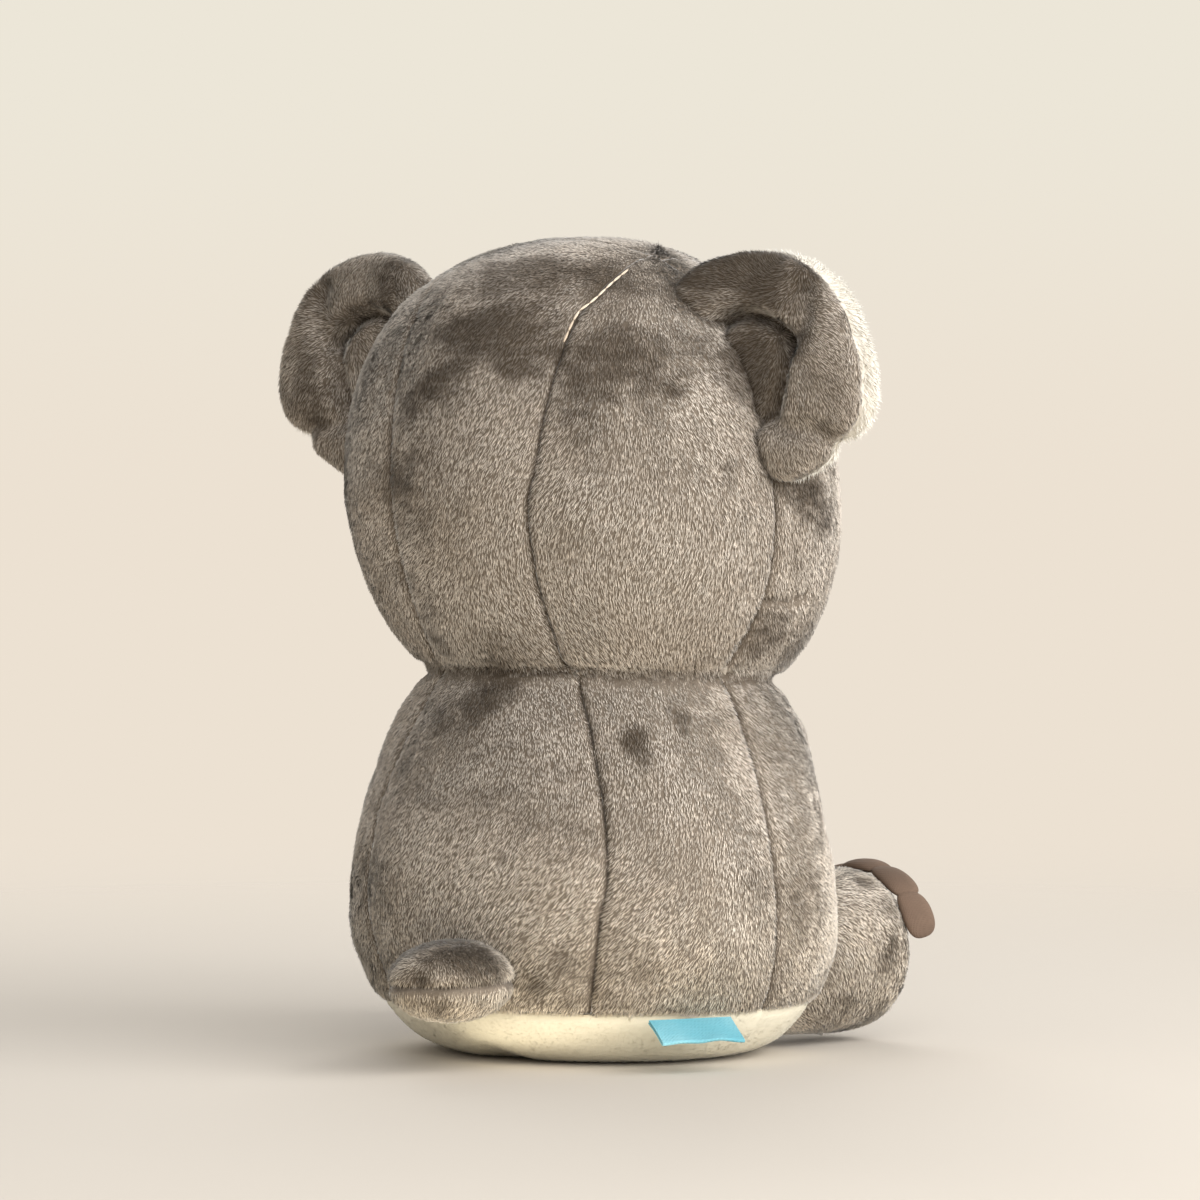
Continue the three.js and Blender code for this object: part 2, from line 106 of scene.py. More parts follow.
def makeCamera():
    turn = math.radians(studio["azimuth"])
    eye = around(studio["azimuth"], 0, studio["distance"]) + Vector((0, 0, studio["cameraHeight"]))
    right = Vector((math.cos(turn), math.sin(turn), 0))
    aim = right * studio["aimRight"] + Vector((0, 0, studio["aimHeight"]))
    data = bpy.data.cameras.new("camera")
    data.lens = studio["lens"]
    data.sensor_width = studio["sensor"]
    camera = bpy.data.objects.new("camera", data)
    camera.location = eye
    camera.rotation_euler = (aim - eye).to_track_quat("-Z", "Y").to_euler()
    scene.collection.objects.link(camera)
    scene.camera = camera


def hangLamp(name, place, size, watts, colour):
    data = bpy.data.lights.new(name, "AREA")
    data.size = size
    data.energy = watts
    data.color = colour
    lamp = bpy.data.objects.new(name, data)
    lamp.location = place
    scene.collection.objects.link(lamp)
    return lamp


def makeLamps():
    middle = (cadLow + cadHigh) / 2
    for name, azimuth, elevation, distance, size, watts, colour in studio["lamps"]:
        lamp = hangLamp(name, middle + around(azimuth, elevation, distance), size, watts, colour)
        lamp.rotation_euler = (middle - lamp.location).to_track_quat("-Z", "Y").to_euler()
    place = around(studio["azimuth"], 0, studio["cardReach"]) + Vector((0, 0, studio["cardLift"]))
    card = hangLamp("floorCard", place, studio["cardSize"], studio["cardWatts"], studio["cardColour"])
    card.rotation_euler = (math.pi, 0, 0)
    card.visible_camera = False


# Node helpers

def addNode(tree, kind, settings=None, **inputs):
    made = tree.nodes.new(kind)
    for name, value in (settings or {}).items():
        setattr(made, name, value)
    for name, value in inputs.items():
        plug(tree, made, name, value)
    return made


def plug(tree, made, name, value):
    # a socket is named in words joined by _, or by its number after an i
    socket = made.inputs[int(name[1:])] if name[1:].isdigit() else made.inputs[name.replace("_", " ")]
    if isinstance(value, bpy.types.NodeSocket):
        tree.links.new(value, socket)
    elif isinstance(value, (tuple, list)) and len(value) == 3 and socket.type == "RGBA":
        socket.default_value = (*value, 1)
    else:
        socket.default_value = value


def calc(tree, operation, a, b=0.0):
    return addNode(tree, "ShaderNodeMath", {"operation": operation}, i0=a, i1=b).outputs[0]


def mixColours(tree, share, a, b, blend="MIX"):
    settings = {"data_type": "RGBA", "blend_type": blend, "clamp_factor": True}
    return addNode(tree, "ShaderNodeMix", settings, i0=share, i6=a, i7=b).outputs[2]


def mixShaders(tree, share, a, b):
    return addNode(tree, "ShaderNodeMixShader", i0=share, i1=a, i2=b).outputs[0]


def grain(tree, place, scale, detail=2.0, roughness=0.5):
    made = addNode(tree, "ShaderNodeTexNoise", Vector=place, Scale=scale, Detail=detail, Roughness=roughness)
    return made.outputs["Fac"]


def ramp(tree, value, low, high):
    settings = {"interpolation_type": "SMOOTHSTEP"}
    made = addNode(tree, "ShaderNodeMapRange", settings, Value=value, From_Min=low, From_Max=high)
    return made.outputs[0]


def newMaterial(name):
    made = bpy.data.materials.new(name)
    made.use_nodes = True
    tree = made.node_tree
    tree.nodes.clear()
    shader = addNode(tree, "ShaderNodeBsdfPrincipled")
    addNode(tree, "ShaderNodeOutputMaterial", Surface=shader.outputs[0])
    place = addNode(tree, "ShaderNodeTexCoord").outputs["Object"]
    return made, tree, shader, place


def tint(code):
    # a colour as it shows, given as six hex digits
    parts = [int(code[i:i + 2], 16) / 255 for i in (0, 2, 4)]
    return tuple(c / 12.92 if c <= 0.04045 else ((c + 0.055) / 1.055) ** 2.4 for c in parts)


def makeFloor():
    bm = bmesh.new()
    bmesh.ops.create_circle(bm, cap_ends=True, segments=studio["floorSides"], radius=studio["floorRadius"])
    floor = objectFrom(bm, "floor")
    made, tree, shader, place = newMaterial("paleFloor")
    colour = studio["floorColour"]
    patch = tuple(c * studio["floorPatch"] for c in colour)
    soft = grain(tree, place, studio["floorGrain"])
    plug(tree, shader, "Base_Color", mixColours(tree, soft, colour, patch))
    shader.inputs["Roughness"].default_value = studio["floorRough"]
    shader.inputs["Specular IOR Level"].default_value = studio["floorShine"]
    away = addNode(tree, "ShaderNodeVectorMath", {"operation": "LENGTH"}, i0=place)
    fade = ramp(tree, away.outputs["Value"], *studio["floorFade"])
    clear = addNode(tree, "ShaderNodeBsdfTransparent")
    end = next(n for n in tree.nodes if n.type == "OUTPUT_MATERIAL")
    plug(tree, end, "Surface", mixShaders(tree, fade, shader.outputs[0], clear.outputs[0]))
    floor.data.materials.append(made)


def makeWorld():
    world = bpy.data.worlds.new("softSky")
    scene.world = world
    world.use_nodes = True
    tree = world.node_tree
    tree.nodes.clear()
    way = addNode(tree, "ShaderNodeTexCoord").outputs["Generated"]
    height = addNode(tree, "ShaderNodeSeparateXYZ", Vector=way).outputs["Z"]
    glow = mixColours(tree, ramp(tree, height, *studio["skyFade"]), studio["skyLow"], studio["skyHigh"])
    sky = addNode(tree, "ShaderNodeBackground", Color=glow, Strength=studio["skyStrength"])
    fade = ramp(tree, height, *studio["backdropFade"])
    backdrop = mixColours(tree, fade, tint(studio["low"]), tint(studio["high"]))
    seen = addNode(tree, "ShaderNodeBackground", Color=backdrop, Strength=1.0)
    path = addNode(tree, "ShaderNodeLightPath")
    direct = calc(tree, "MAXIMUM", path.outputs["Is Camera Ray"], path.outputs["Is Transmission Ray"])
    direct = calc(tree, "MAXIMUM", direct, path.outputs["Is Glossy Ray"])
    both = mixShaders(tree, direct, sky.outputs[0], seen.outputs[0])
    addNode(tree, "ShaderNodeOutputWorld", Surface=both)


# Mesh helpers

formFineness = 6  # how often the balls behind the skins are divided
guideFineness = 5


def objectFrom(bm, name):
    mesh = bpy.data.meshes.new(name)
    bm.to_mesh(mesh)
    bm.free()
    made = bpy.data.objects.new(name, mesh)
    scene.collection.objects.link(made)
    return made


def settle(made):
    # applies every modifier of a piece
    bpy.context.view_layer.update()
    shown = made.evaluated_get(bpy.context.evaluated_depsgraph_get())
    mesh = bpy.data.meshes.new_from_object(shown)
    old = made.data
    made.modifiers.clear()
    made.data = mesh
    mesh.name = made.name
    bpy.data.meshes.remove(old)


def newBall(fineness):
    bm = bmesh.new()
    bmesh.ops.create_icosphere(bm, subdivisions=fineness, radius=1)
    return bm


def warpedBall(place, inset, fineness):
    bm = newBall(fineness)
    for v in bm.verts:
        v.co = place(v.co.normalized(), inset)
    if bm.calc_volume(signed=True) < 0:
        bmesh.ops.reverse_faces(bm, faces=bm.faces)
    bm.normal_update()
    return bm


def cutThrough(bm, cut, clear=True):
    # cuts a mesh by a plane and keeps what lies against its direction
    point, direction = cut
    everything = bm.verts[:] + bm.edges[:] + bm.faces[:]
    bmesh.ops.bisect_plane(
        bm, geom=everything, dist=1e-6, plane_co=point, plane_no=direction, clear_outer=clear
    )


def treeOf(bm):
    tree = BVHTree.FromBMesh(bm)
    bm.free()
    return tree


def pointTree(points):
    tree = KDTree(len(points))
    for i, point in enumerate(points):
        tree.insert(point, i)
    tree.balance()
    return tree


def clamp(value):
    return max(0, min(1, value))


def fade(away, width, power=2):
    return math.exp(-(away / width) ** power)


def along(table, at):
    # a value read between the rows of a table
    if at <= table[0][0]:
        return table[0][1]
    for (a, low), (b, high) in zip(table, table[1:]):
        if at <= b:
            return low + (high - low) * (at - a) / (b - a)
    return table[-1][1]


def smoothStep(a, b, c, d, t):
    # from b to c on a smooth line that also passes through a and d
    return 0.5 * (
        2 * b + (c - a) * t + (2 * a - 5 * b + 4 * c - d) * t * t + (3 * b - a - 3 * c + d) * t ** 3
    )


def outlineCurve(points, steps=12):
    # a smooth line through the outline's points, with its running length
    ends = [points[0], *points, points[-1]]
    line = []
    for i in range(len(points) - 1):
        near = [Vector(q) for q in ends[i:i + 4]]
        line += [smoothStep(*near, k / steps) for k in range(steps)]
    line.append(Vector(points[-1]))
    run = [0.0]
    for a, b in zip(line, line[1:]):
        run.append(run[-1] + (b - a).length)
    return line, run


def alongOutline(curve, share):
    line, run = curve
    want = share * run[-1]
    low, high = 0, len(run) - 1
    while high - low > 1:
        mid = (low + high) // 2
        if run[mid] > want:
            high = mid
        else:
            low = mid
    t = (want - run[low]) / max(run[high] - run[low], 1e-9)
    return line[low].lerp(line[high], t)


def stepped(line, apart=0.0006):
    # places close together along a line of points
    points = []
    line = [Vector(spot) for spot in line]
    for a, b in zip(line, line[1:]):
        steps = max(1, int((b - a).length / apart))
        points += [a.lerp(b, k / steps) for k in range(steps)]
    return points


def rimPoints(bm, apart=0.001):
    # places along the open edges of a skin
    return [p for edge in bm.edges if edge.is_boundary for p in stepped([v.co for v in edge.verts], apart)]


def meetingLine(form, tree):
    # places where the edges of a form cross the other form
    depth = {}
    for v in form.verts:
        spot, normal, _, away = tree.find_nearest(v.co)
        depth[v] = math.copysign(away, (v.co - spot).dot(normal))
    line = []
    for edge in form.edges:
        a, b = edge.verts
        if depth[a] * depth[b] < 0:
            line.append(a.co.lerp(b.co, depth[a] / (depth[a] - depth[b])))
    return line


def insideOf(tree, place, depth):
    # whether a place lies deeper than that inside a closed form
    spot, normal, _, away = tree.find_nearest(place)
    return (place - spot).dot(normal) < 0 and away > depth


def trimInside(bm, tree, depth):
    hidden = [f for f in bm.faces if all(insideOf(tree, v.co, depth) for v in f.verts)]
    bmesh.ops.delete(bm, geom=hidden, context="FACES")


# Forms of the head and body

neckZ = 0.137

headShape = {
    "middle": 0.200,
    "rise": 0.099,
    "drop": 0.098,
    "halfWidth": 0.093,
    "halfDepth": 0.085,
    "lean": 0.012,
    "crownFullness": 2.25,
    "crownBack": 0.25,
    "jawFullness": 1.85,
    "jawBack": 0.22,
    "pileRoom": 0.0022,
}

bodyShape = {
    "halfWidth": 0.092,
    "halfDepth": 0.082,
    "arch": 0.005,
    "pileRoom": 0.0022,
    # half width and height of the side view, as shares
    "outline": [
        (0, 0), (0.3, 0.001), (0.54, 0.0036), (0.7, 0.03), (0.85, 0.09), (0.93, 0.137),
        (0.97, 0.2), (1, 0.31), (0.998, 0.42), (0.98, 0.53), (0.945, 0.64), (0.89, 0.77),
        (0.815, 0.9), (0.74, 1), (0.69, 1.06), (0, 1.08),
    ],
}


def headPoint(p, inset):
    s = headShape
    reach = math.hypot(p.x, p.y)
    back = p.y / reach if reach > 0 else 0
    middle = s["middle"] + s["lean"] * back
    if p.z > 0:
        fullness = s["crownFullness"] + s["crownBack"] * back
        end = s["middle"] + s["rise"] - inset
    else:
        fullness = s["jawFullness"] - s["jawBack"] * back
        end = s["middle"] - s["drop"] + inset
    swell = reach ** (2 / fullness) / reach if reach > 0 else 0
    return Vector((
        p.x * swell * (s["halfWidth"] - inset),
        p.y * swell * (s["halfDepth"] - inset),
        middle + (end - middle) * abs(p.z) ** (2 / fullness),
    ))


def outlineSpot(curve, height):
    # the outline's place for a height on the unit ball
    return alongOutline(curve, 0.5 + math.asin(max(-1, min(1, height))) / math.pi)


bodyCurve = outlineCurve(bodyShape["outline"])


def bodyPoint(p, inset):
    s = bodyShape
    reach = math.hypot(p.x, p.y)
    wide, high = outlineSpot(bodyCurve, p.z)
    z = inset + high * (neckZ - inset)
    fromMiddle = 2 * z / neckZ - 1
    turn = (p.x / reach, p.y / reach) if reach > 1e-9 else (0, 0)
    return Vector((
        turn[0] * wide * (s["halfWidth"] - inset),
        turn[1] * wide * (s["halfDepth"] - inset) - s["arch"] * fromMiddle ** 2,
        z,
    ))


print("camera and stage")
makeCamera()
makeLamps()
makeFloor()
makeWorld()


# Plush pile: short fibres scattered over a skin, leaning with its nap

piles = {
    "short": {
        "density": 1.95e6, "seed": 11, "tuftScale": 170, "tuft": 0.8, "stray": 0.16, "lift": 0.38,
        "thick": 0.00045, "long": 0.0021,
    },
    "fringe": {
        "density": 1.3e6, "seed": 51, "tuftScale": 160, "tuft": 1.0, "stray": 0.25, "lift": 0.6,
        "thick": 0.0006, "long": 0.0031,
    },
    "velour": {
        "density": 5e5, "seed": 31, "tuftScale": 140, "tuft": 0.6, "stray": 0.15, "lift": 0.12,
        "thick": 0.0005, "long": 0.0012,
    },
}

fibre = {
    # the least and most share of the pile's own thickness and length
    "thickShares": (0.6, 1.25),
    "longShares": (0.7, 1.2),
    "tuftDetail": 2.0,
}

flatMap = {
    # the skin's part of the flat map, and the strip beside it for the wall's inner side
    "edge": 0.01,
    "wide": 0.77,
    "high": 0.98,
    "strip": 0.8,
    "fibreSpread": 0.02,
}


def pileTree(name, pile, finish):
    tree = bpy.data.node_groups.new(name, "GeometryNodeTree")
    tree.interface.new_socket("Geometry", in_out="INPUT", socket_type="NodeSocketGeometry")
    tree.interface.new_socket("Geometry", in_out="OUTPUT", socket_type="NodeSocketGeometry")
    start = tree.nodes.new("NodeGroupInput")
    end = tree.nodes.new("NodeGroupOutput")

    def named(kind, attribute):
        made = addNode(tree, "GeometryNodeInputNamedAttribute", {"data_type": kind}, Name=attribute)
        return made.outputs[0]

    def stored(kind, domain, geometry, name, value, **more):
        settings = {"data_type": kind, "domain": domain}
        made = addNode(tree, "GeometryNodeStoreNamedAttribute", settings, Geometry=geometry, Name=name,
                       Value=value, **more)
        return made.outputs[0]

    def chance(whole, shares, seed):
        made = addNode(tree, "FunctionNodeRandomValue", {"data_type": "FLOAT"}, Seed=seed,
                       i2=whole * shares[0], i3=whole * shares[1])
        return made.outputs[1]

    def vectors(operation, a, **inputs):
        return addNode(tree, "ShaderNodeVectorMath", {"operation": operation}, i0=a, **inputs).outputs[0]

    # roots, thinned out where the cover attribute is low
    outside = addNode(tree, "FunctionNodeCompare", {"data_type": "INT", "operation": "EQUAL"})
    tree.links.new(tree.nodes.new("GeometryNodeInputMaterialIndex").outputs[0], outside.inputs["A"])
    inner = addNode(tree, "FunctionNodeBooleanMath", {"operation": "NOT"}, i0=outside.outputs[0])
    strip = flatMap["strip"]
    moved = vectors("MULTIPLY", named("FLOAT_VECTOR", "OFBake"), i1=(1 - strip, 1, 1))
    moved = vectors("ADD", moved, i1=(strip, 0, 0))
    skin = stored("FLOAT2", "CORNER", start.outputs[0], "OFBake", moved, Selection=inner.outputs[0])
    normal = tree.nodes.new("GeometryNodeInputNormal").outputs[0]
    skin = stored("FLOAT_VECTOR", "POINT", skin, "outward", normal)
    roots = addNode(
        tree, "GeometryNodeDistributePointsOnFaces", {"distribute_method": "RANDOM"},
        Mesh=skin, Selection=outside.outputs[0],
        Density=calc(tree, "MULTIPLY", named("FLOAT", "cover"), pile["density"]), Seed=pile["seed"],
    )
    shade = stored("FLOAT", "POINT", roots.outputs["Points"], "shade", chance(1, (0, 1), pile["seed"] + 1))

    # every fibre leans with the nap, in tufts
    tuft = addNode(tree, "ShaderNodeTexNoise", Scale=pile["tuftScale"], Detail=fibre["tuftDetail"])
    tuftLean = vectors("SUBTRACT", tuft.outputs["Color"], i1=(0.5, 0.5, 0.5))
    tuftLean = vectors("SCALE", tuftLean, Scale=pile["tuft"])
    stray = addNode(tree, "FunctionNodeRandomValue", {"data_type": "FLOAT_VECTOR"}, Seed=pile["seed"] + 2,
                    i0=(-1, -1, -1), i1=(1, 1, 1))
    lean = vectors("SCALE", roots.outputs["Normal"], Scale=pile["lift"])
    strayLean = vectors("SCALE", stray.outputs[0], Scale=pile["stray"])
    for more in (named("FLOAT_VECTOR", "nap"), tuftLean, strayLean):
        lean = vectors("ADD", lean, i1=more)
    turn = addNode(tree, "FunctionNodeAlignRotationToVector", {"axis": "Z"}, Vector=lean)

    thick = chance(pile["thick"], fibre["thickShares"], pile["seed"] + 3)
    long = chance(pile["long"], fibre["longShares"], pile["seed"] + 4)
    long = calc(tree, "MULTIPLY", long, named("FLOAT", "reach"))
    size = addNode(tree, "ShaderNodeCombineXYZ", X=thick, Y=thick, Z=long)
    cone = addNode(tree, "GeometryNodeMeshCone", {"fill_type": "NGON"}, Vertices=3, Radius_Top=0.0,
                   Radius_Bottom=0.5, Depth=1.0)
    place = tree.nodes.new("GeometryNodeInputPosition").outputs[0]
    height = addNode(tree, "ShaderNodeSeparateXYZ", Vector=place).outputs["Z"]
    tip = stored("FLOAT", "POINT", cone.outputs[0], "tip", height)
    planted = addNode(tree, "GeometryNodeInstanceOnPoints", Points=shade, Instance=tip,
                      Rotation=turn.outputs[0], Scale=size.outputs[0])
    grown = addNode(tree, "GeometryNodeRealizeInstances", Geometry=planted.outputs[0])

    # each fibre takes its root's place in the skin's flat map
    spread = vectors("SCALE", place, Scale=flatMap["fibreSpread"])
    spot = vectors("ADD", named("FLOAT_VECTOR", "OFBake"), i1=spread)
    mapped = stored("FLOAT2", "CORNER", grown.outputs[0], "OFBake", spot)
    coloured = addNode(tree, "GeometryNodeSetMaterial", Geometry=mapped, Material=finish)
    both = tree.nodes.new("GeometryNodeJoinGeometry")
    tree.links.new(coloured.outputs[0], both.inputs[0])
    tree.links.new(skin, both.inputs[0])
    tree.links.new(both.outputs[0], end.inputs[0])
    return tree


# Finishes

# each finish's darkest tone paints shade along seams, creases and roots and in brushed spots, its root tone
# paints shade at the fibres' roots and on the bare skin between them, and its warm tone paints bounce light
# from the floor on low parts
plushTones = {
    "greyPlush": {
        "root": "82776b", "deep": "c6baad", "mid": "ded4c9", "tip": "f6f0e8", "paintedBounceTone": "e6d6ba",
        "paintedBounceBelow": 0.05, "patchScale": 26, "seam": "42372b", "strokeShade": 0.78, "spread": 0.45,
        "weight": 0.4, "skinLit": 0.8, "sheen": 1.0,
    },
    "whiteFur": {
        "root": "e2ddd3", "deep": "ece9e2", "mid": "f0eee8", "tip": "f5f4ef", "paintedBounceTone": "eee9de",
        "paintedBounceBelow": 0.2, "patchScale": 40, "seam": "cfc6b8", "strokeShade": 0.0, "spread": 0.06,
        "weight": 1.0, "skinLit": 0.25, "sheen": 0.2,
    },
    "creamPlush": {
        "root": "eee8d4", "deep": "f1ecdc", "mid": "f4f0e2", "tip": "f8f5ea", "paintedBounceTone": "f0e8cc",
        "paintedBounceBelow": 0.03, "patchScale": 30, "seam": "c4b597", "strokeShade": 0.0, "spread": 0.1,
        "weight": 1.0, "skinLit": 0.9, "sheen": 0.2,
    },
}

plushLook = {
    "patch": (0.34, 0.66),
    "patchDetail": 3.0,
    "patchRough": 0.6,
    "fineTimes": 9,
    "streakTimes": 5,
    "streakFlat": 2.4,
    "streakShare": 0.34,
    "speckle": (0.3, 0.7),
    "brushedShade": (0.08, 1.05),
    "paintedBounceShare": 0.45,
    "bodyFrom": (0.0, 0.55),
    "tipFrom": (0.35, 1.1),
    "stitchScale": 330,
    "stitch": (0.35, 0.6),
    "stitchShare": 0.45,
    "roughness": 0.95,
    "shine": 0.15,
    "sheenRoughness": 0.32,
}

clothLook = {
    "waveTurn": 6.28,
    "wander": 1.5,
    "stainScale": 30,
    "stainDetail": 4.0,
    "stain": (0.35, 0.7),
    "weaveShare": 0.3,
    "roughness": 0.9,
    "bump": 0.35,
    "bumpDepth": 0.0004,
}

cloths = {
    # dark tone, light tone, threads in a metre
    "backing": ("a39a8e", "c2bab0", 1600),
    "filling": ("e4e0d8", "f6f4ef", 300),
    "pouchCloth": ("b5a88f", "cfc3ac", 1600),
    "suede": ("57463a", "725d4e", 3000),
    "noseCloth": ("1d1917", "332c29", 2500),
    "thread": ("3b2f29", "54463e", 4000),
    "ribbon": ("64a6b6", "88bcc8", 2200),
    "paleThread": ("cdbba6", "e6d8c6", 4000),
}

plasticLook = {
    "cloudScale": 400,
    "cloudDetail": 3.0,
    "cloud": (0.3, 0.7),
    "cloudRough": 0.05,
    "shine": 0.35,
}

plastics = {
    # dark tone, light tone, roughness
    "washer": ("dcdcd8", "efefec", 0.4),
    "eyeGloss": ("070505", "15100d", 0.06),
}


def read(tree, attribute, kind="Fac"):
    return addNode(tree, "ShaderNodeAttribute", {"attribute_name": attribute}).outputs[kind]


def plushMaterial(name):
    tones = {key: tint(value) if isinstance(value, str) else value for key, value in plushTones[name].items()}
    look = plushLook
    scale, detail = tones["patchScale"], look["patchDetail"]
    made, tree, shader, place = newMaterial(name)
    patches = ramp(tree, grain(tree, place, scale, detail, look["patchRough"]), *look["patch"])
    fine = ramp(tree, grain(tree, place, scale * look["fineTimes"]), *look["speckle"])
    flat = (1, 1, look["streakFlat"])
    wide = addNode(tree, "ShaderNodeVectorMath", {"operation": "MULTIPLY"}, i0=place, i1=flat).outputs[0]
    streaks = ramp(tree, grain(tree, wide, scale * look["streakTimes"], detail), *look["speckle"])
    streaks = calc(tree, "MULTIPLY", calc(tree, "SUBTRACT", streaks, 0.5), look["streakShare"])
    strokeShade = ramp(tree, calc(tree, "ADD", read(tree, "brush"), streaks), *look["brushedShade"])
    strokeShade = calc(tree, "MULTIPLY", strokeShade, tones["strokeShade"])
    height = addNode(tree, "ShaderNodeSeparateXYZ", Vector=place).outputs["Z"]
    # painted bounce light: the low parts are mixed towards a warm tone as if lit from the floor below
    low = calc(tree, "SUBTRACT", 1.0, ramp(tree, height, 0.0, tones["paintedBounceBelow"] * 2))
    body = mixColours(tree, patches, tones["deep"], tones["mid"])
    body = mixColours(tree, calc(tree, "MULTIPLY", low, look["paintedBounceShare"]), body, tones["paintedBounceTone"])

    # from the fibre's root to its tip, with painted shade at the roots and on the bare skin between fibres,
    # in the brushed spots and along seams, creases and roots
    tip = read(tree, "tip")
    lit = mixColours(tree, ramp(tree, tip, *look["bodyFrom"]), tones["root"], body)
    lit = mixColours(tree, calc(tree, "MULTIPLY", ramp(tree, tip, *look["tipFrom"]), fine), lit, tones["tip"])
    lit = mixColours(tree, strokeShade, lit, tones["seam"])
    stitch = ramp(tree, grain(tree, place, look["stitchScale"], 1.0), *look["stitch"])
    stitch = calc(tree, "ADD", calc(tree, "MULTIPLY", stitch, look["stitchShare"]), look["stitchShare"])
    lit = mixColours(tree, calc(tree, "MULTIPLY", read(tree, "seam"), stitch), lit, tones["seam"])
    shade = calc(tree, "MULTIPLY", read(tree, "shade"), tones["spread"])
    shade = calc(tree, "ADD", shade, 1 - tones["spread"] * tones["weight"])
    grey = addNode(tree, "ShaderNodeCombineColor", Red=shade, Green=shade, Blue=shade)
    plug(tree, shader, "Base_Color", mixColours(tree, 1.0, lit, grey.outputs[0], "MULTIPLY"))
    shader.inputs["Roughness"].default_value = look["roughness"]
    shader.inputs["Specular IOR Level"].default_value = look["shine"]
    shader.inputs["Sheen Weight"].default_value = tones["sheen"]
    shader.inputs["Sheen Roughness"].default_value = look["sheenRoughness"]

    # fibres are lit mostly as the skin that they lie on
    settings = {"vector_type": "NORMAL", "convert_from": "OBJECT", "convert_to": "WORLD"}
    outward = addNode(tree, "ShaderNodeVectorTransform", settings, Vector=read(tree, "outward", "Vector"))
    own = tree.nodes.new("ShaderNodeNewGeometry").outputs["Normal"]
    both = addNode(tree, "ShaderNodeMix", {"data_type": "VECTOR"}, i0=tones["skinLit"], i4=own,
                   i5=outward.outputs[0])
    plug(tree, shader, "Normal", both.outputs[1])
    return made


def clothMaterial(name, dark, light, threads):
    # woven or knitted cloth: a fine criss-cross with a little soiling
    look = clothLook
    made, tree, shader, place = newMaterial(name)
    rows = [
        addNode(tree, "ShaderNodeTexWave", {"bands_direction": way}, Vector=place,
                Scale=threads / look["waveTurn"], Distortion=look["wander"], Detail=1.0).outputs["Fac"]
        for way in ("X", "Z")
    ]
    weave = calc(tree, "MULTIPLY", *rows)
    stain = ramp(tree, grain(tree, place, look["stainScale"], look["stainDetail"]), *look["stain"])
    colour = mixColours(tree, stain, tint(dark), tint(light))
    colour = mixColours(tree, calc(tree, "MULTIPLY", weave, look["weaveShare"]), colour, tint(dark))
    plug(tree, shader, "Base_Color", colour)
    shader.inputs["Roughness"].default_value = look["roughness"]
    bump = addNode(tree, "ShaderNodeBump", Height=weave, Strength=look["bump"], Distance=look["bumpDepth"])
    plug(tree, shader, "Normal", bump.outputs[0])
    return made


def plasticMaterial(name, dark, light, roughness):
    # moulded plastic with a faint cloudiness
    look = plasticLook
    made, tree, shader, place = newMaterial(name)
    cloud = ramp(tree, grain(tree, place, look["cloudScale"], look["cloudDetail"]), *look["cloud"])
    plug(tree, shader, "Base_Color", mixColours(tree, cloud, tint(dark), tint(light)))
    rough = calc(tree, "ADD", calc(tree, "MULTIPLY", cloud, look["cloudRough"]), roughness)
    plug(tree, shader, "Roughness", rough)
    shader.inputs["Specular IOR Level"].default_value = look["shine"]
    return made


print("finishes")
materials = {name: plushMaterial(name) for name in plushTones}
materials |= {name: clothMaterial(name, *tones) for name, tones in cloths.items()}
materials |= {name: plasticMaterial(name, *tones) for name, tones in plastics.items()}


# Cloth blown up on a coarse copy of a form, held along its seams

cushioning = {
    "voxel": 0.0052,
    "pressure": 4,
    "frames": 20,
    "heldNear": 0.003,
    "heldFar": 0.011,
    "slack": -0.05,
    "cap": 0.0014,
    "neighbours": 10,
    # how far from seams, neck and crown the cloth is free
    "seamEase": 0.022,
    "neckEase": 0.022,
    "crown": 0.294,
}


def clothField(bm, seamPoints):
    trial = objectFrom(bm, "trial")
    remesh = trial.modifiers.new("remesh", "REMESH")
    remesh.mode = "VOXEL"
    remesh.voxel_size = cushioning["voxel"]
    settle(trial)
    rest = [v.co.copy() for v in trial.data.vertices]
    held = trial.vertex_groups.new(name="held")
    seams = pointTree(seamPoints)
    near, far = cushioning["heldNear"], cushioning["heldFar"]
    for i, co in enumerate(rest):
        held.add([i], clamp((far - seams.find(co)[2]) / (far - near)), "REPLACE")
    cloth = trial.modifiers.new("cloth", "CLOTH")
    cloth.settings.vertex_group_mass = "held"
    cloth.settings.use_pressure = True
    cloth.settings.uniform_pressure_force = cushioning["pressure"]
    cloth.settings.shrink_min = cushioning["slack"]
    cloth.settings.effector_weights.gravity = 0
    cloth.point_cache.frame_start = 1
    cloth.point_cache.frame_end = cushioning["frames"]
    for step in range(1, cushioning["frames"] + 1):
        scene.frame_set(step)
    shown = trial.evaluated_get(bpy.context.evaluated_depsgraph_get())
    moves = [v.co - a for v, a in zip(shown.data.vertices, rest)]
    scene.frame_set(1)
    bpy.data.objects.remove(trial)
    cap = cushioning["cap"]
    moves = [m * (cap / max(m.length, cap)) for m in moves]
    print("  cloth moved", round(sum(m.length for m in moves) / len(moves) * 1000, 2), "mm on average")
    places = pointTree(rest)

    def field(place):
        total, weight = Vector(), 0
        for _, i, away in places.find_n(place, cushioning["neighbours"]):
            w = fade(away, cushioning["voxel"])
            total += moves[i] * w
            weight += w
        return total / weight if weight else total
    return field


# Skins: panels are cut from a form, drawn in along their seams and given a wall

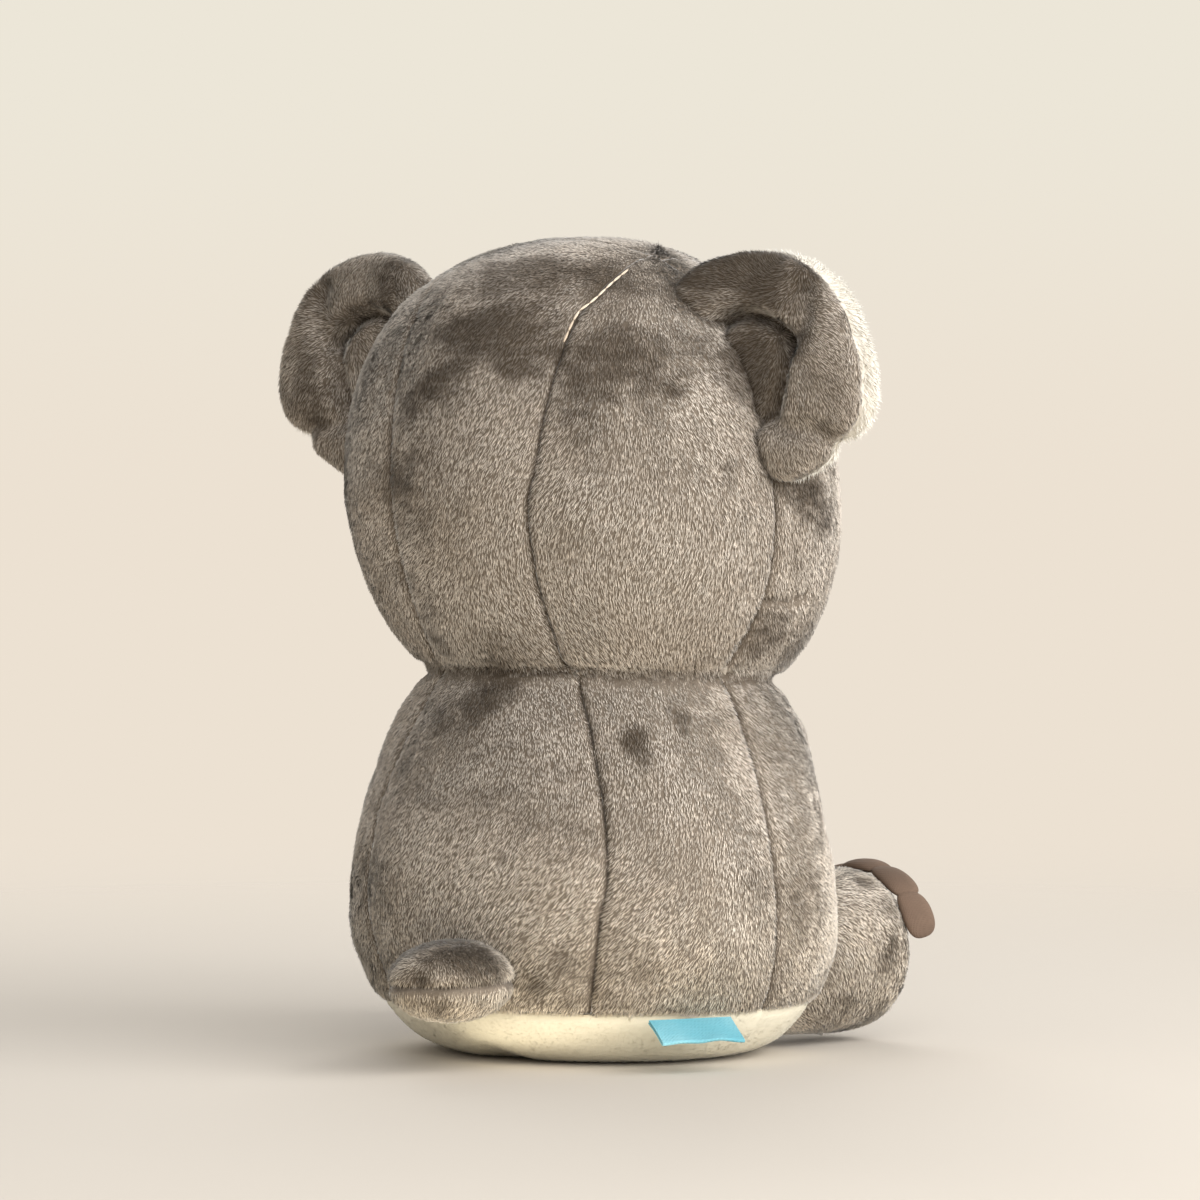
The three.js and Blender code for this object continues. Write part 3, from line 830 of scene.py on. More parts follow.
seamLook = {
    "loops": [0.0009, 0.0020, 0.0042, 0.0085],
    # a narrow dip and a wide draw along each seam, with small puckers
    "dip": 0.0017,
    "dipWidth": 0.0017,
    "draw": 0.0013,
    "drawWidth": 0.010,
    "drawPower": 1.5,
    "pucker": 0.0004,
    "puckerScale": 170,
    "most": 0.0044,
    # the pile is thin and short from the seam to this far
    "bare": 0.0001,
    "full": 0.0012,
    "shortest": 0.55,
    "shadow": 0.0010,
    # the crease where head and body meet, with painted shade in it
    "neckDip": 0.0031,
    "neckWidth": 0.0031,
    "neckShadeDark": 0.9,
    "neckShadow": 0.0018,
    "neckCalm": 0.009,
    "neckLeft": 0.2,
    # painted shade where another piece meets this one, and in the ear's deepest creases
    "rootShadeDark": 0.85,
    "rootShadow": 0.0016,
    # seams are flatter between these heights and on the crown
    "calmFrom": 0.262,
    "calmTo": 0.288,
    "calmLeft": 0.15,
    # painted shade in the dents, by their depth
    "dentShade": 300,
    "plumpEase": 0.008,
}

wall = 0.0022
floorRoom = 0.0009
trimmedAt = 0.0115  # how far the skins of head and body reach into one another
rootDepth = 0.003  # how far the skins of limbs and tail reach into the body's

brushing = {
    "seed": 5,
    # place, radius, strength of the spots of painted shade where the pile was stroked the other way and
    # catches less light, and where the head and tail lie in shade
    "strokes": [
        ((0.007, 0.055, 0.284), 0.011, 0.8), ((-0.0145, 0.0510, 0.2864), 0.012, 0.9),
        ((-0.0355, 0.0441, 0.2839), 0.010, 0.9), ((0.012, 0.073, 0.262), 0.009, 0.7),
        ((-0.0004, 0.0758, 0.2619), 0.011, 1.0), ((-0.0126, 0.0718, 0.2672), 0.011, 1.0),
        ((-0.027, 0.0713, 0.2619), 0.009, 0.9), ((-0.0166, 0.078, 0.2531), 0.009, 0.9),
        ((0.0298, 0.0785, 0.2386), 0.009, 0.8), ((0.020, 0.0804, 0.2423), 0.009, 0.8),
        ((0.0098, 0.081, 0.2466), 0.007, 0.7), ((-0.0413, 0.0708, 0.2496), 0.014, 0.7),
        ((-0.0504, 0.0621, 0.2566), 0.013, 0.7), ((-0.0601, 0.0576, 0.2496), 0.011, 0.6),
        ((-0.0672, 0.0421, 0.2601), 0.008, 0.6), ((-0.0706, 0.0477, 0.246), 0.006, 0.9),
        ((-0.0815, 0.0404, 0.216), 0.0045, 0.8), ((0.0337, 0.0792, 0.210), 0.009, 0.5),
        ((0.023, 0.0823, 0.2156), 0.006, 0.4), ((0.0284, 0.0579, 0.1502), 0.008, 0.6),
        ((-0.0021, 0.0621, 0.1493), 0.008, 0.6), ((-0.0927, 0.0013, 0.210), 0.013, 0.9),
        ((-0.0922, -0.0104, 0.1954), 0.009, 0.8), ((-0.0903, 0.0042, 0.1814), 0.007, 0.5),
        ((-0.074, -0.0239, 0.1476), 0.013, 0.8), ((-0.0782, 0.0048, 0.1525), 0.011, 0.8),
        ((0.0108, 0.0587, 0.1309), 0.010, 0.8), ((0.0033, 0.0571, 0.1346), 0.009, 0.9),
        ((0.0278, 0.0589, 0.1232), 0.007, 0.6), ((-0.048, 0.0513, 0.118), 0.005, 0.9),
        ((-0.0601, 0.037, 0.123), 0.0055, 0.8), ((-0.0524, 0.0518, 0.1111), 0.005, 0.6),
        ((-0.0111, 0.0788, 0.0777), 0.0032, 1.0), ((-0.0841, -0.0211, 0.0864), 0.008, 0.5),
        ((-0.0917, -0.0009, 0.0592), 0.011, 0.4), ((-0.0218, 0.0765, 0.0314), 0.008, 0.6),
        ((-0.0337, 0.0753, 0.0408), 0.006, 0.5), ((-0.0732, 0.0448, 0.0296), 0.006, 0.4),
        ((-0.0692, -0.0763, 0.0602), 0.005, 0.7), ((-0.0844, -0.072, 0.0334), 0.006, 0.7),
        ((-0.0752, -0.0587, 0.0174), 0.006, 0.4), ((-0.0838, -0.0806, 0.0457), 0.006, 0.6),
        ((-0.077, -0.0778, 0.0122), 0.006, 0.5), ((-0.062, 0.027, 0.284), 0.013, 0.9),
        ((-0.078, 0.027, 0.287), 0.012, 0.9), ((-0.080, 0.022, 0.252), 0.015, 0.9),
        ((-0.094, 0.027, 0.281), 0.010, 0.6), ((-0.098, 0.026, 0.262), 0.009, 0.5),
        ((0.066, 0.025, 0.280), 0.010, 0.5), ((0.105, 0.026, 0.240), 0.010, 0.5),
        ((0.026, 0.079, 0.203), 0.021, 0.4), ((-0.0035, 0.099, 0.0475), 0.013, 0.5),
        ((-0.014, 0.097, 0.044), 0.010, 0.4),
    ],
    "strokeSpread": 1.15,
    "strokePower": 4,
    "wander": 0.007,
    "wanderScale": 60,
    "mottleShade": 0.42,
    "mottleScale": 20,
    "mottleFrom": 0.05,
    "mottleTimes": 2,
    "swirl": 0.9,
    "swirlScale": 14,
}
noise.seed_set(brushing["seed"])  # the same brushing each time

dents = [
    # place, radius, depth of the spots where a knot pulls the cloth in
    ((-0.0111, 0.0788, 0.0777), 0.0032, 0.0016), ((-0.0030, 0.1205, 0.0367), 0.0034, 0.0024),
    ((-0.0094, 0.1130, 0.0243), 0.0028, 0.0014), ((-0.0690, -0.0760, 0.0600), 0.0040, 0.0010),
    ((-0.0840, -0.0720, 0.0334), 0.0040, 0.0010),
]

dart = [
    (-0.0833, 0.0150, 0.1659), (-0.0846, 0.0050, 0.1652),
    (-0.0857, -0.0038, 0.1662), (-0.0856, -0.0110, 0.1690),
]
darts = {"cheek_right": dart, "cheek_left": [(-x, y, z) for x, y, z in dart]}


def cutPanel(form, cuts, straighten):
    # straighten moves a place so that the wandering seams lie in flat planes while they are cut
    bm = form.copy()
    home = bm.verts.layers.float_vector.new("home")
    for v in bm.verts:
        v[home] = v.co
        v.co = straighten(v.co)
    for point, away in cuts:
        for inside in seamLook["loops"]:
            cutThrough(bm, (Vector(point) - Vector(away).normalized() * inside, away), clear=False)
    for cut in cuts:
        cutThrough(bm, cut)
    bmesh.ops.remove_doubles(bm, verts=bm.verts, dist=1e-5)
    for v in bm.verts:
        v.co = v[home]
    bm.verts.layers.float_vector.remove(home)
    return bm


def combed(lean, normal):
    # a lean laid flat on the cloth
    return (lean - normal * lean.dot(normal)).normalized()


def downNap(place, normal):
    swirl = noise.noise_vector(place * brushing["swirlScale"]) * brushing["swirl"]
    return combed(Vector((0, 0, -1)) + swirl, normal)


def dentAt(place):
    return sum(deep * fade((place - Vector(spot)).length, wide) for spot, wide, deep in dents)


# painted shade: darker in the stroked spots and in random mottles, where the turned pile catches less light
def brushedShade(place):
    b = brushing
    spot = place + noise.noise_vector(place * b["wanderScale"]) * b["wander"]
    mottleShade = noise.fractal(place * b["mottleScale"], 1, 2, 3)
    left = 1 - b["mottleShade"] * clamp((mottleShade - b["mottleFrom"]) * b["mottleTimes"])
    for centre, radius, strength in b["strokes"]:
        away = (spot - Vector(centre)).length / radius
        left *= 1 - strength * fade(away, b["strokeSpread"], b["strokePower"])
    return 1 - left


def dressSkin(bm, look, seams, nap=downNap, neck=None, roots=None, shade=0):
    # draws the skin in along its seams and stores what its pile follows, with painted shade along seams, in
    # the neck crease, along roots and in brushed spots and dents
    bm.normal_update()
    edges = pointTree(seams)
    names = ("brush", "cover", "reach", "seam")
    brush, cover, reach, shadow = (bm.verts.layers.float.new(name) for name in names)
    lean = bm.verts.layers.float_vector.new("nap")
    moved = {}
    for v in bm.verts:
        away = edges.find(v.co)[2]
        calm = clamp((v.co.z - look["calmFrom"]) / (look["calmTo"] - look["calmFrom"]))
        calm = 1 - (1 - look["calmLeft"]) * calm
        dip = calm * look["dip"] * fade(away, look["dipWidth"])
        dip += calm * look["draw"] * fade(away, look["drawWidth"], look["drawPower"])
        ripple = noise.noise(v.co * look["puckerScale"])
        dip += look["pucker"] * ripple * fade(away, look["drawWidth"])
        v[cover] = clamp((away - look["bare"]) / (look["full"] - look["bare"]))
        v[reach] = look["shortest"] + (1 - look["shortest"]) * v[cover]
        v[shadow] = calm * fade(away, look["shadow"])
        if neck:
            crease = neck.find(v.co)[2]
            dip *= look["neckLeft"] + (1 - look["neckLeft"]) * min(1, crease / look["neckCalm"])
            dip += look["neckDip"] * fade(crease, look["neckWidth"])
            v[shadow] = max(v[shadow], look["neckShadeDark"] * fade(crease, look["neckShadow"]))
        if roots:
            crease = roots.find(v.co)[2]
            v[shadow] = max(v[shadow], look["rootShadeDark"] * fade(crease, look["rootShadow"]))
        # painted shade of brushed spots, dents and the piece's own shade
        dent = dentAt(v.co)
        v[brush] = min(1, brushedShade(v.co) + dent * look["dentShade"] + shade)
        v[lean] = nap(v.co, v.normal)
        moved[v] = v.co - v.normal * min(dip + dent, look["most"])
    for v, place in moved.items():
        v.co = place
    bm.normal_update()


def mapRound(bm, middle):
    # a flat map round an upright axis, so that each place has its own spot
    layer = bm.loops.layers.uv.new("OFBake")
    directions = [v.co - middle for v in bm.verts]
    mean = sum((Vector((d.x, d.y, 0)) for d in directions), Vector()).normalized()
    side = Vector((mean.y, -mean.x, 0))
    spots = {}
    for v, d in zip(bm.verts, directions):
        turn = math.atan2(d.dot(side), d.dot(mean))
        spots[v] = (turn, math.atan2(d.z, math.hypot(d.x, d.y)))
    lows = [min(s[i] for s in spots.values()) for i in (0, 1)]
    highs = [max(s[i] for s in spots.values()) for i in (0, 1)]
    for face in bm.faces:
        for loop in face.loops:
            u, v = ((spots[loop.vert][i] - lows[i]) / (highs[i] - lows[i]) for i in (0, 1))
            loop[layer].uv = (flatMap["edge"] + flatMap["wide"] * u, flatMap["edge"] + flatMap["high"] * v)


def finishPlush(bm, name, skin, pile, body, middle, thickness=wall):
    # a dressed skin gets its wall and its pile
    mapRound(bm, middle)
    made = objectFrom(bm, name + "_plush")
    made.data.materials.append(materials[skin])
    made.data.materials.append(materials["backing"])
    solid = made.modifiers.new("wall", "SOLIDIFY")
    solid.thickness = thickness
    solid.offset = -1
    solid.material_offset = 1
    solid.material_offset_rim = 1
    grow = made.modifiers.new("pile", "NODES")
    grow.node_group = pileTree(made.name + "Pile", piles[pile], materials[skin])
    settle(made)
    for i in reversed(range(len(made.data.materials))):
        if made.data.materials[i] is None:
            made.data.materials.pop(index=i)
    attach(made, body)
    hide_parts(name)
    print("  ", made.name, len(made.data.polygons), "faces")


def finishPlain(bm, name, finish, body, nodes):
    if bm.calc_volume(signed=True) < 0:
        bmesh.ops.reverse_faces(bm, faces=bm.faces)
    for face in bm.faces:
        face.smooth = True
    made = objectFrom(bm, name)
    made.data.materials.append(materials[finish])
    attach(made, body)
    if nodes:
        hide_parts(*nodes)


def makePanels(form, cutLists, straighten, other, middle, looks, roots=None):
    # looks gives some panels their own skin, pile and how much they plump up
    print(" cutting", ", ".join(cutLists))
    neck = pointTree(meetingLine(form, other))
    surface = BVHTree.FromBMesh(form)
    panels = {name: cutPanel(form, cuts, straighten) for name, cuts in cutLists.items()}
    seams = [p for bm in panels.values() for p in rimPoints(bm)]
    field = clothField(form, seams)
    sewn = pointTree(seams)
    for name, bm in panels.items():
        blown = bm.verts.layers.float_vector.new("blown")
        for v in bm.verts:
            free = min(1, sewn.find(v.co)[2] / cushioning["seamEase"])
            free *= min(1, neck.find(v.co)[2] / cushioning["neckEase"])
            free *= clamp((cushioning["crown"] - v.co.z) / cushioning["seamEase"])
            v[blown] = field(v.co) * free * free * (3 - 2 * free)
        seam = rimPoints(bm) + [surface.find_nearest(p)[0] for p in stepped(darts.get(name, []))]
        trimInside(bm, other, trimmedAt)
        dressSkin(bm, seamLook, seam, neck=neck, roots=roots)
        skin, pile, plump = looks.get(name, ("greyPlush", "short", 0))
        sewnEdge = pointTree(seam)
        for v in bm.verts:
            away = min(1, sewnEdge.find(v.co)[2] / seamLook["plumpEase"])
            v.co += v[blown] + v.normal * plump * away
            v.co.z = max(v.co.z, floorRoom)
        finishPlush(bm, name, skin, pile, "torso", middle)


# Head

headSeams = {
    "left": 0.041,
    "right": -0.024,
    "ear": 0.017,
    "face": 0.030,
    # how far the right back seam and the ear seam wander from their planes, by height
    "rightDrift": [
        (0.14, 0.004), (0.175, 0.004), (0.197, 0.003), (0.206, 0.0015), (0.216, -0.0016), (0.231, -0.0037),
        (0.242, -0.0055), (0.259, -0.0085), (0.270, -0.010), (0.275, -0.013), (0.285, -0.0165),
    ],
    "rightReach": 0.045,
    "earDrift": [(0.14, -0.004), (0.167, -0.0052), (0.182, -0.0032), (0.207, 0)],
    "earReach": 0.04,
}


def straightHead(place):
    s = headSeams
    drift = along(s["rightDrift"], place.z) * max(0, 1 - abs(place.x - s["right"]) / s["rightReach"])
    back = along(s["earDrift"], place.z) * max(0, 1 - abs(place.y - s["ear"]) / s["earReach"])
    return Vector((place.x - drift, place.y - back, place.z))


def headCuts():
    s = headSeams
    behind = ((0, s["ear"], 0), (0, -1, 0))
    before = ((0, s["ear"], 0), (0, 1, 0))
    right = lambda x: ((x, 0, 0), (1, 0, 0))
    left = lambda x: ((x, 0, 0), (-1, 0, 0))
    return {
        "head_back_gusset": [behind, right(s["left"]), left(s["right"])],
        "head_back_right": [behind, right(s["right"])],
        "head_back_left": [behind, left(s["left"])],
        "face_centre": [before, right(s["face"]), left(-s["face"])],
        "cheek_right": [before, right(-s["face"])],
        "cheek_left": [before, left(s["face"])],
    }


def headTree(fineness=guideFineness):
    return treeOf(warpedBall(headPoint, headShape["pileRoom"], fineness))


def bodyTree():
    return treeOf(warpedBall(bodyPoint, bodyShape["pileRoom"], guideFineness))


def makeHead():
    print("head")
    form = warpedBall(headPoint, headShape["pileRoom"], formFineness)
    surface = BVHTree.FromBMesh(form)
    # painted shade on the head where the ears meet it
    roots = []
    for side in (-1, 1):
        earForm = earBall(side)
        roots += meetingLine(earForm, surface)
        earForm.free()
    middle = Vector((0, 0, headShape["middle"]))
    makePanels(form, headCuts(), straightHead, bodyTree(), middle, {}, pointTree(roots))


# Body

bodySeams = {
    "baseZ": 0.0185,
    # degrees from the middle of the back
    "backRight": 34,
    "backLeft": -40,
    "sideRight": 81,
    "sideLeft": -87,
    "belly": 130,
    # how many degrees the back seams wander, by height
    "rightDrift": [
        (0.018, -3), (0.041, -1), (0.056, 0), (0.067, 2), (0.081, 2), (0.096, 1), (0.111, -1),
        (0.123, -3), (0.139, -9),
    ],
    "leftDrift": [(0.018, 1), (0.038, -3), (0.05, -6), (0.061, -10), (0.095, -10), (0.125, -6), (0.139, -5)],
    "driftReach": 40,
    "creamPlump": 0.0016,
}


def straightBody(place):
    s = bodySeams
    turn = math.degrees(math.atan2(-place.x, place.y))
    drift = 0
    for at, table in ((s["backRight"], s["rightDrift"]), (s["backLeft"], s["leftDrift"])):
        drift += along(table, place.z) * max(0, 1 - abs(turn - at) / s["driftReach"])
    return Matrix.Rotation(math.radians(-drift), 3, "Z") @ place


def awayFrom(degrees, side):
    # a plane through the upright axis at that turn from the back; keeps one side of it
    turn = math.radians(degrees)
    return (0, 0, 0), (-math.cos(turn) * side, -math.sin(turn) * side, 0)


def bodyCuts():
    s = bodySeams
    above = ((0, 0, s["baseZ"]), (0, 0, -1))
    between = lambda low, high: [awayFrom(high, 1), awayFrom(low, -1), above]
    return {
        "base_panel": [((0, 0, s["baseZ"]), (0, 0, 1))],
        "body_back_panel": between(s["backLeft"], s["backRight"]),
        "body_side_right": between(s["backRight"], s["sideRight"]),
        "body_front_right": between(s["sideRight"], s["belly"]),
        "belly_panel": between(s["belly"], 360 - s["belly"]),
        "body_front_left": between(-s["belly"], s["sideLeft"]),
        "body_side_left": between(s["sideLeft"], s["backLeft"]),
    }


def makeBody():
    print("body")
    form = warpedBall(bodyPoint, bodyShape["pileRoom"], formFineness)
    cream = ("creamPlush", "velour", bodySeams["creamPlump"])
    looks = {"base_panel": cream, "belly_panel": cream}
    makePanels(form, bodyCuts(), straightBody, headTree(), Vector((0, 0, neckZ / 2)), looks)


# Stuffing and the pellet pouch

fillShape = {
    "clearance": 0.0115,
    "neckGap": 0.001,
    "lump": 0.0016,
    "lumpScale": 60,
    "pouchHalfWidth": 0.048,
    "pouchHeight": 0.016,
    "pouchLift": 0.0115,
    "pouchRoom": 0.003,
    "pouchFold": 0.0012,
    "pouchFoldScale": 5,
}


def fillBall(place, cut):
    # a form filled up to a cut, with a lumpy skin
    s = fillShape
    bm = warpedBall(place, s["clearance"], guideFineness)
    cutThrough(bm, cut)
    bmesh.ops.holes_fill(bm, edges=[e for e in bm.edges if e.is_boundary])
    bm.normal_update()
    for v in bm.verts:
        v.co -= v.normal * s["lump"] * (1 + noise.noise(v.co * s["lumpScale"]))
    return bm


def makeStuffing():
    print("stuffing and pouch")
    s = fillShape
    head = fillBall(headPoint, ((0, 0, neckZ), (0, 0, -1)))
    finishPlain(head, "head_filling", "filling", "torso", ["head_stuffing"])
    body = fillBall(bodyPoint, ((0, 0, neckZ - s["neckGap"]), (0, 0, 1)))
    for v in body.verts:
        share = 1 - (v.co.x ** 2 + v.co.y ** 2) / (s["pouchHalfWidth"] + s["pouchRoom"]) ** 2
        roof = s["pouchLift"] + (s["pouchHeight"] * 2 + s["pouchRoom"]) * math.sqrt(max(0, share))
        if share > 0 and v.co.z < roof:
            v.co.z = roof
    finishPlain(body, "body_filling", "filling", "torso", ["body_stuffing"])
    pouch = newBall(guideFineness)
    for v in pouch.verts:
        fold = 1 + s["pouchFold"] / s["pouchHeight"] * noise.noise(v.co * s["pouchFoldScale"])
        v.co = Vector((
            v.co.x * s["pouchHalfWidth"], v.co.y * s["pouchHalfWidth"],
            s["pouchLift"] + s["pouchHeight"] * (1 + v.co.z * fold),
        ))
    finishPlain(pouch, "pouch_bag", "pouchCloth", "torso", ["pellet_pouch"])


# Limbs

arm = {
    "from": (-0.04968, -0.04428, 0.11234),
    "reach": (0.025, -0.048, -0.030),
    "radius": 0.0165,
    # half width and place along the limb, as shares
    "outline": [
        (0, -0.3), (0.55, -0.24), (0.84, -0.06), (0.92, 0.2), (0.97, 0.5), (1, 0.8),
        (0.97, 1), (0.82, 1.17), (0.5, 1.28), (0, 1.32),
    ],
    "pileRoom": 0.0018,
    "claw": {
        "width": 0.0092, "length": 0.0078, "root": 0.005, "thick": 0.0036, "step": 30, "ring": 0.0135,
        "flare": 0.1, "far": 1.135,
    },
}

leg = {
    "from": (-0.04324, -0.03772, 0.0335),
    "reach": (-0.016, -0.057, 0),
    "radius": 0.032,
    "outline": [
        (0, -0.3), (0.6, -0.26), (0.88, -0.08), (0.95, 0.2), (0.98, 0.5), (1, 0.75),
        (0.99, 0.9), (0.94, 1), (0.78, 1.06), (0.5, 1.085), (0, 1.09),
    ],
    "pileRoom": 0.0016,
    "soleCut": 1.0,
    "soleMap": 0.05,
    "claw": {
        "width": 0.0172, "length": 0.0118, "root": 0.005, "thick": 0.0044, "step": 31, "ring": 0.0305,
        "flare": 0.06, "far": 1.0,
    },
}

clawShape = {
    "count": 5,
    "fineness": 4,
    "squareAcross": 0.82,
    "squareAlong": 0.8,
    # width at the middle of the tongue, and how much it narrows to the tip
    "rootWide": 1.1,
    "taper": 0.16,
    "thin": 0.25,
    "droop": 0.2,
}


def limbFrame(limb, side):
    start, reach = Vector(limb["from"]), Vector(limb["reach"])
    start.x, reach.x = -start.x * side, -reach.x * side
    forward = reach.normalized()
    across = forward.cross(Vector((0, 0, 1))).normalized()
    up = across.cross(forward)
    turn = Matrix((across, forward, up)).transposed().to_4x4()
    return Matrix.Translation(start) @ turn, reach.length


def limbBall(limb, side):
    curve = outlineCurve(limb["outline"])
    place, length = limbFrame(limb, side)
    radius = limb["radius"] - limb["pileRoom"]

    def point(p, inset):
        reach = math.hypot(p.x, p.z)
        wide, far = outlineSpot(curve, p.y)
        x, z = (p.x / reach, p.z / reach) if reach > 1e-9 else (0, 0)
        return place @ Vector((x * wide * radius, far * (length - inset), z * wide * radius))
    return warpedBall(point, limb["pileRoom"], guideFineness)


def soleCut(side, way):
    # the plane of the sole's seam; way is 1 to keep the leg and -1 to keep the sole
    place, length = limbFrame(leg, side)
    return place @ Vector((0, leg["soleCut"] * length, 0)), place.to_3x3() @ Vector((0, way, 0))


def makeLimb(name, limb, side, trees, cut=None):
    bm = limbBall(limb, side)
    seam = [Vector((0, 0, -1))]  # an arm has no seam near it
    if cut:
        cutThrough(bm, cut)
        seam = rimPoints(bm)
    for tree in trees:
        trimInside(bm, tree, rootDepth)
    dressSkin(bm, seamLook, seam)
    middle = sum((v.co for v in bm.verts), Vector()) / len(bm.verts)
    finishPlush(bm, name, "greyPlush", "short", name, middle)


def makeClaws(name, limb, side, body):
    # a scalloped strip: padded tongues side by side
    place, length = limbFrame(limb, side)
    claw, s = limb["claw"], clawShape
    half = (claw["length"] + claw["root"]) / 2
    bm = bmesh.new()
    for i in range(s["count"]):
        turn = math.radians((i - (s["count"] - 1) / 2) * claw["step"])
        made = bmesh.ops.create_icosphere(bm, subdivisions=s["fineness"], radius=1)["verts"]
        for v in made:
            p = v.co.copy()
            x = max(abs(p.x), 1e-6) ** s["squareAcross"] * math.copysign(1, p.x)
            y = math.copysign(abs(p.y) ** s["squareAlong"], p.y)
            x *= claw["width"] / 2 * (s["rootWide"] - s["taper"] * y)
            far = y * half + (claw["length"] - claw["root"]) / 2
            rise = claw["flare"] * far - s["droop"] * claw["length"] * max(0, far / claw["length"]) ** 3
            z = p.z * claw["thick"] / 2 * (1 - s["thin"] * y) + rise - x * x / (2 * claw["ring"])
            v.co = Vector((x, far + claw["far"] * length, z + claw["ring"]))
        bmesh.ops.transform(bm, verts=made, matrix=place @ Matrix.Rotation(turn, 4, "Y"))
    finishPlain(bm, name + "_felt", "suede", body, [name])


def makeSole(side, word):
    bm = limbBall(leg, side)
    spot, away = soleCut(side, -1)
    for inside in seamLook["loops"]:
        cutThrough(bm, (spot - away * inside, away), clear=False)
    cutThrough(bm, (spot, away))
    dressSkin(bm, seamLook, rimPoints(bm))
    middle = spot + away * leg["soleMap"]
    finishPlush(bm, "foot_sole_" + word, "greyPlush", "short", "leg_" + word, middle)


def makeLimbs():
    print("limbs")
    body, head = bodyTree(), headTree()
    for side, word in ((-1, "right"), (1, "left")):
        makeLimb("arm_" + word, arm, side, [body, head])
        makeClaws("hand_claws_" + word, arm, side, "arm_" + word)
        makeLimb("leg_" + word, leg, side, [body], soleCut(side, 1))
        makeSole(side, word)
        makeClaws("foot_claws_" + word, leg, side, "leg_" + word)


# Tail

tail = {
    "middle": (0.001, 0.0922, 0.033),
    "half": (0.0222, 0.0312, 0.016),
    "pileRoom": 0.0018,
    "shade": 0.3,
    "seam": {"dip": 0.002, "draw": 0.001},
    "seamSteps": 628,
    "stepsInRadian": 100,
}


def makeTail():
    print("tail")
    middle = Vector(tail["middle"])
    half = [size - tail["pileRoom"] for size in tail["half"]]
    bm = newBall(guideFineness)
    for v in bm.verts:
        v.co = middle + Vector(v.co[i] * half[i] for i in range(3))
    bm.normal_update()
    turns = [k / tail["stepsInRadian"] for k in range(tail["seamSteps"])]
    seam = [middle + Vector((math.cos(turn) * half[0], math.sin(turn) * half[1], 0)) for turn in turns]
    trimInside(bm, bodyTree(), rootDepth)
    dressSkin(bm, {**seamLook, **tail["seam"]}, seam, shade=tail["shade"])
    finishPlush(bm, "tail", "greyPlush", "short", "tail", middle)


# Ears

ear = {
    "middle": (0.091, 0.0165, 0.250),
    "halfDepth": 0.0125,
    "round": 2.9,
    "pileRoom": 0.0016,
    "wall": 0.0015,
    "rootDepth": 0.004,
    "outline": [
        (0.0570, 0.2855), (0.0705, 0.2915), (0.0840, 0.2930), (0.0990, 0.2890), (0.1130, 0.2790),
        (0.1210, 0.2655), (0.1255, 0.2510), (0.1258, 0.2385), (0.1228, 0.2300), (0.1172, 0.2252),
        (0.1112, 0.2225), (0.1090, 0.2170), (0.1030, 0.2125), (0.0950, 0.2085), (0.0860, 0.2110),
        (0.0740, 0.2280), (0.0600, 0.2480), (0.0480, 0.2700),
    ],
    # the rim's seam, which runs further back along the outside of the ear
    "seamY": 0.0130,
    "seamDrift": 0.0040,
    "driftAcross": 0.03,
    "driftUp": 0.09,
    "seam": {"dip": 0.0012, "draw": 0.0006, "bare": -0.0005, "shadow": 0.0005},
    "creases": [
        # depth, half width, line
        (0.0090, 0.0026, [(0.0645, 0.2480), (0.0640, 0.2560), (0.0670, 0.2625), (0.0725, 0.2675),
                          (0.0800, 0.2695), (0.0880, 0.2672), (0.0940, 0.2628), (0.0965, 0.2580)]),
        (0.0058, 0.0026, [(0.0965, 0.2580), (0.0955, 0.2485), (0.0935, 0.2410), (0.0915, 0.2355),
                          (0.0885, 0.2325), (0.0845, 0.2305)]),
        (0.0040, 0.0050, [(0.0985, 0.2600), (0.1015, 0.2650), (0.1030, 0.2710), (0.1025, 0.2770)]),
        (0.0034, 0.0042, [(0.1140, 0.2250), (0.1080, 0.2283), (0.1015, 0.2290), (0.0940, 0.2300)]),
    ],
    "shadedCreases": 2,
    "creaseReach": 1.4,
    "behind": 0.06,
    "lobe": (0.0820, 0.2500),
    "lobeHalf": (0.0140, 0.0190),
    "lobeSink": 0.0048,
    "least": -0.0022,
    "leastGive": 0.15,
    # the top of the root bends back, from a place over a length, across and up
    "rootBend": 0.009,
    "bendAcross": (0.082, 0.026),
    "bendUp": (0.255, 0.02),
    "dish": 0.0052,
    "dishHalf": (0.026, 0.028),
    "swell": 0.003,
    "swellFrom": 0.3,
    "swellRise": 1.6,
    "swellUp": 0.6,
    "shade": 0.3,
    "mapBack": 0.03,
    "nap": {"down": 0.8, "swirlScale": 30, "swirl": 0.8},
    "fringe": {"out": 0.02, "down": 0.7, "swirlScale": 40, "swirl": 0.5},
}


def closedPolar(points, middle, steps=10):
    # how far a closed outline lies from its middle, by direction
    n = len(points)
    table = []
    for i in range(n):
        near = [Vector(points[(i + k - 1) % n]) for k in range(4)]
        for k in range(steps):
            spot = smoothStep(*near, k / steps) - Vector(middle)
            table.append((math.atan2(spot.y, spot.x), spot.length))
    table.sort()
    table = [(table[-1][0] - 2 * math.pi, table[-1][1]), *table, (table[0][0] + 2 * math.pi, table[0][1])]
    return lambda turn: along(table, turn)


def lineAway(x, z, line):
    best = 1.0
    spot = Vector((x, z))
    for a, b in zip(line, line[1:]):
        a, b = Vector(a), Vector(b)
        t = clamp((spot - a).dot(b - a) / (b - a).length_squared)
        best = min(best, (spot - a.lerp(b, t)).length)
    return best


def creasedBack(x, z, y, share):
    # the cloth behind the ear, folded in along its creases
    for depth, half, line in ear["creases"]:
        y -= share * depth * fade(lineAway(x, z, line), half)
    lx, lz = ((place - middle) / half for place, middle, half in zip((x, z), ear["lobe"], ear["lobeHalf"]))
    y -= share * ear["lobeSink"] * math.exp(-(lx ** 4 + lz ** 4))
    return max(y, ear["least"] + (y - ear["least"]) * ear["leastGive"])


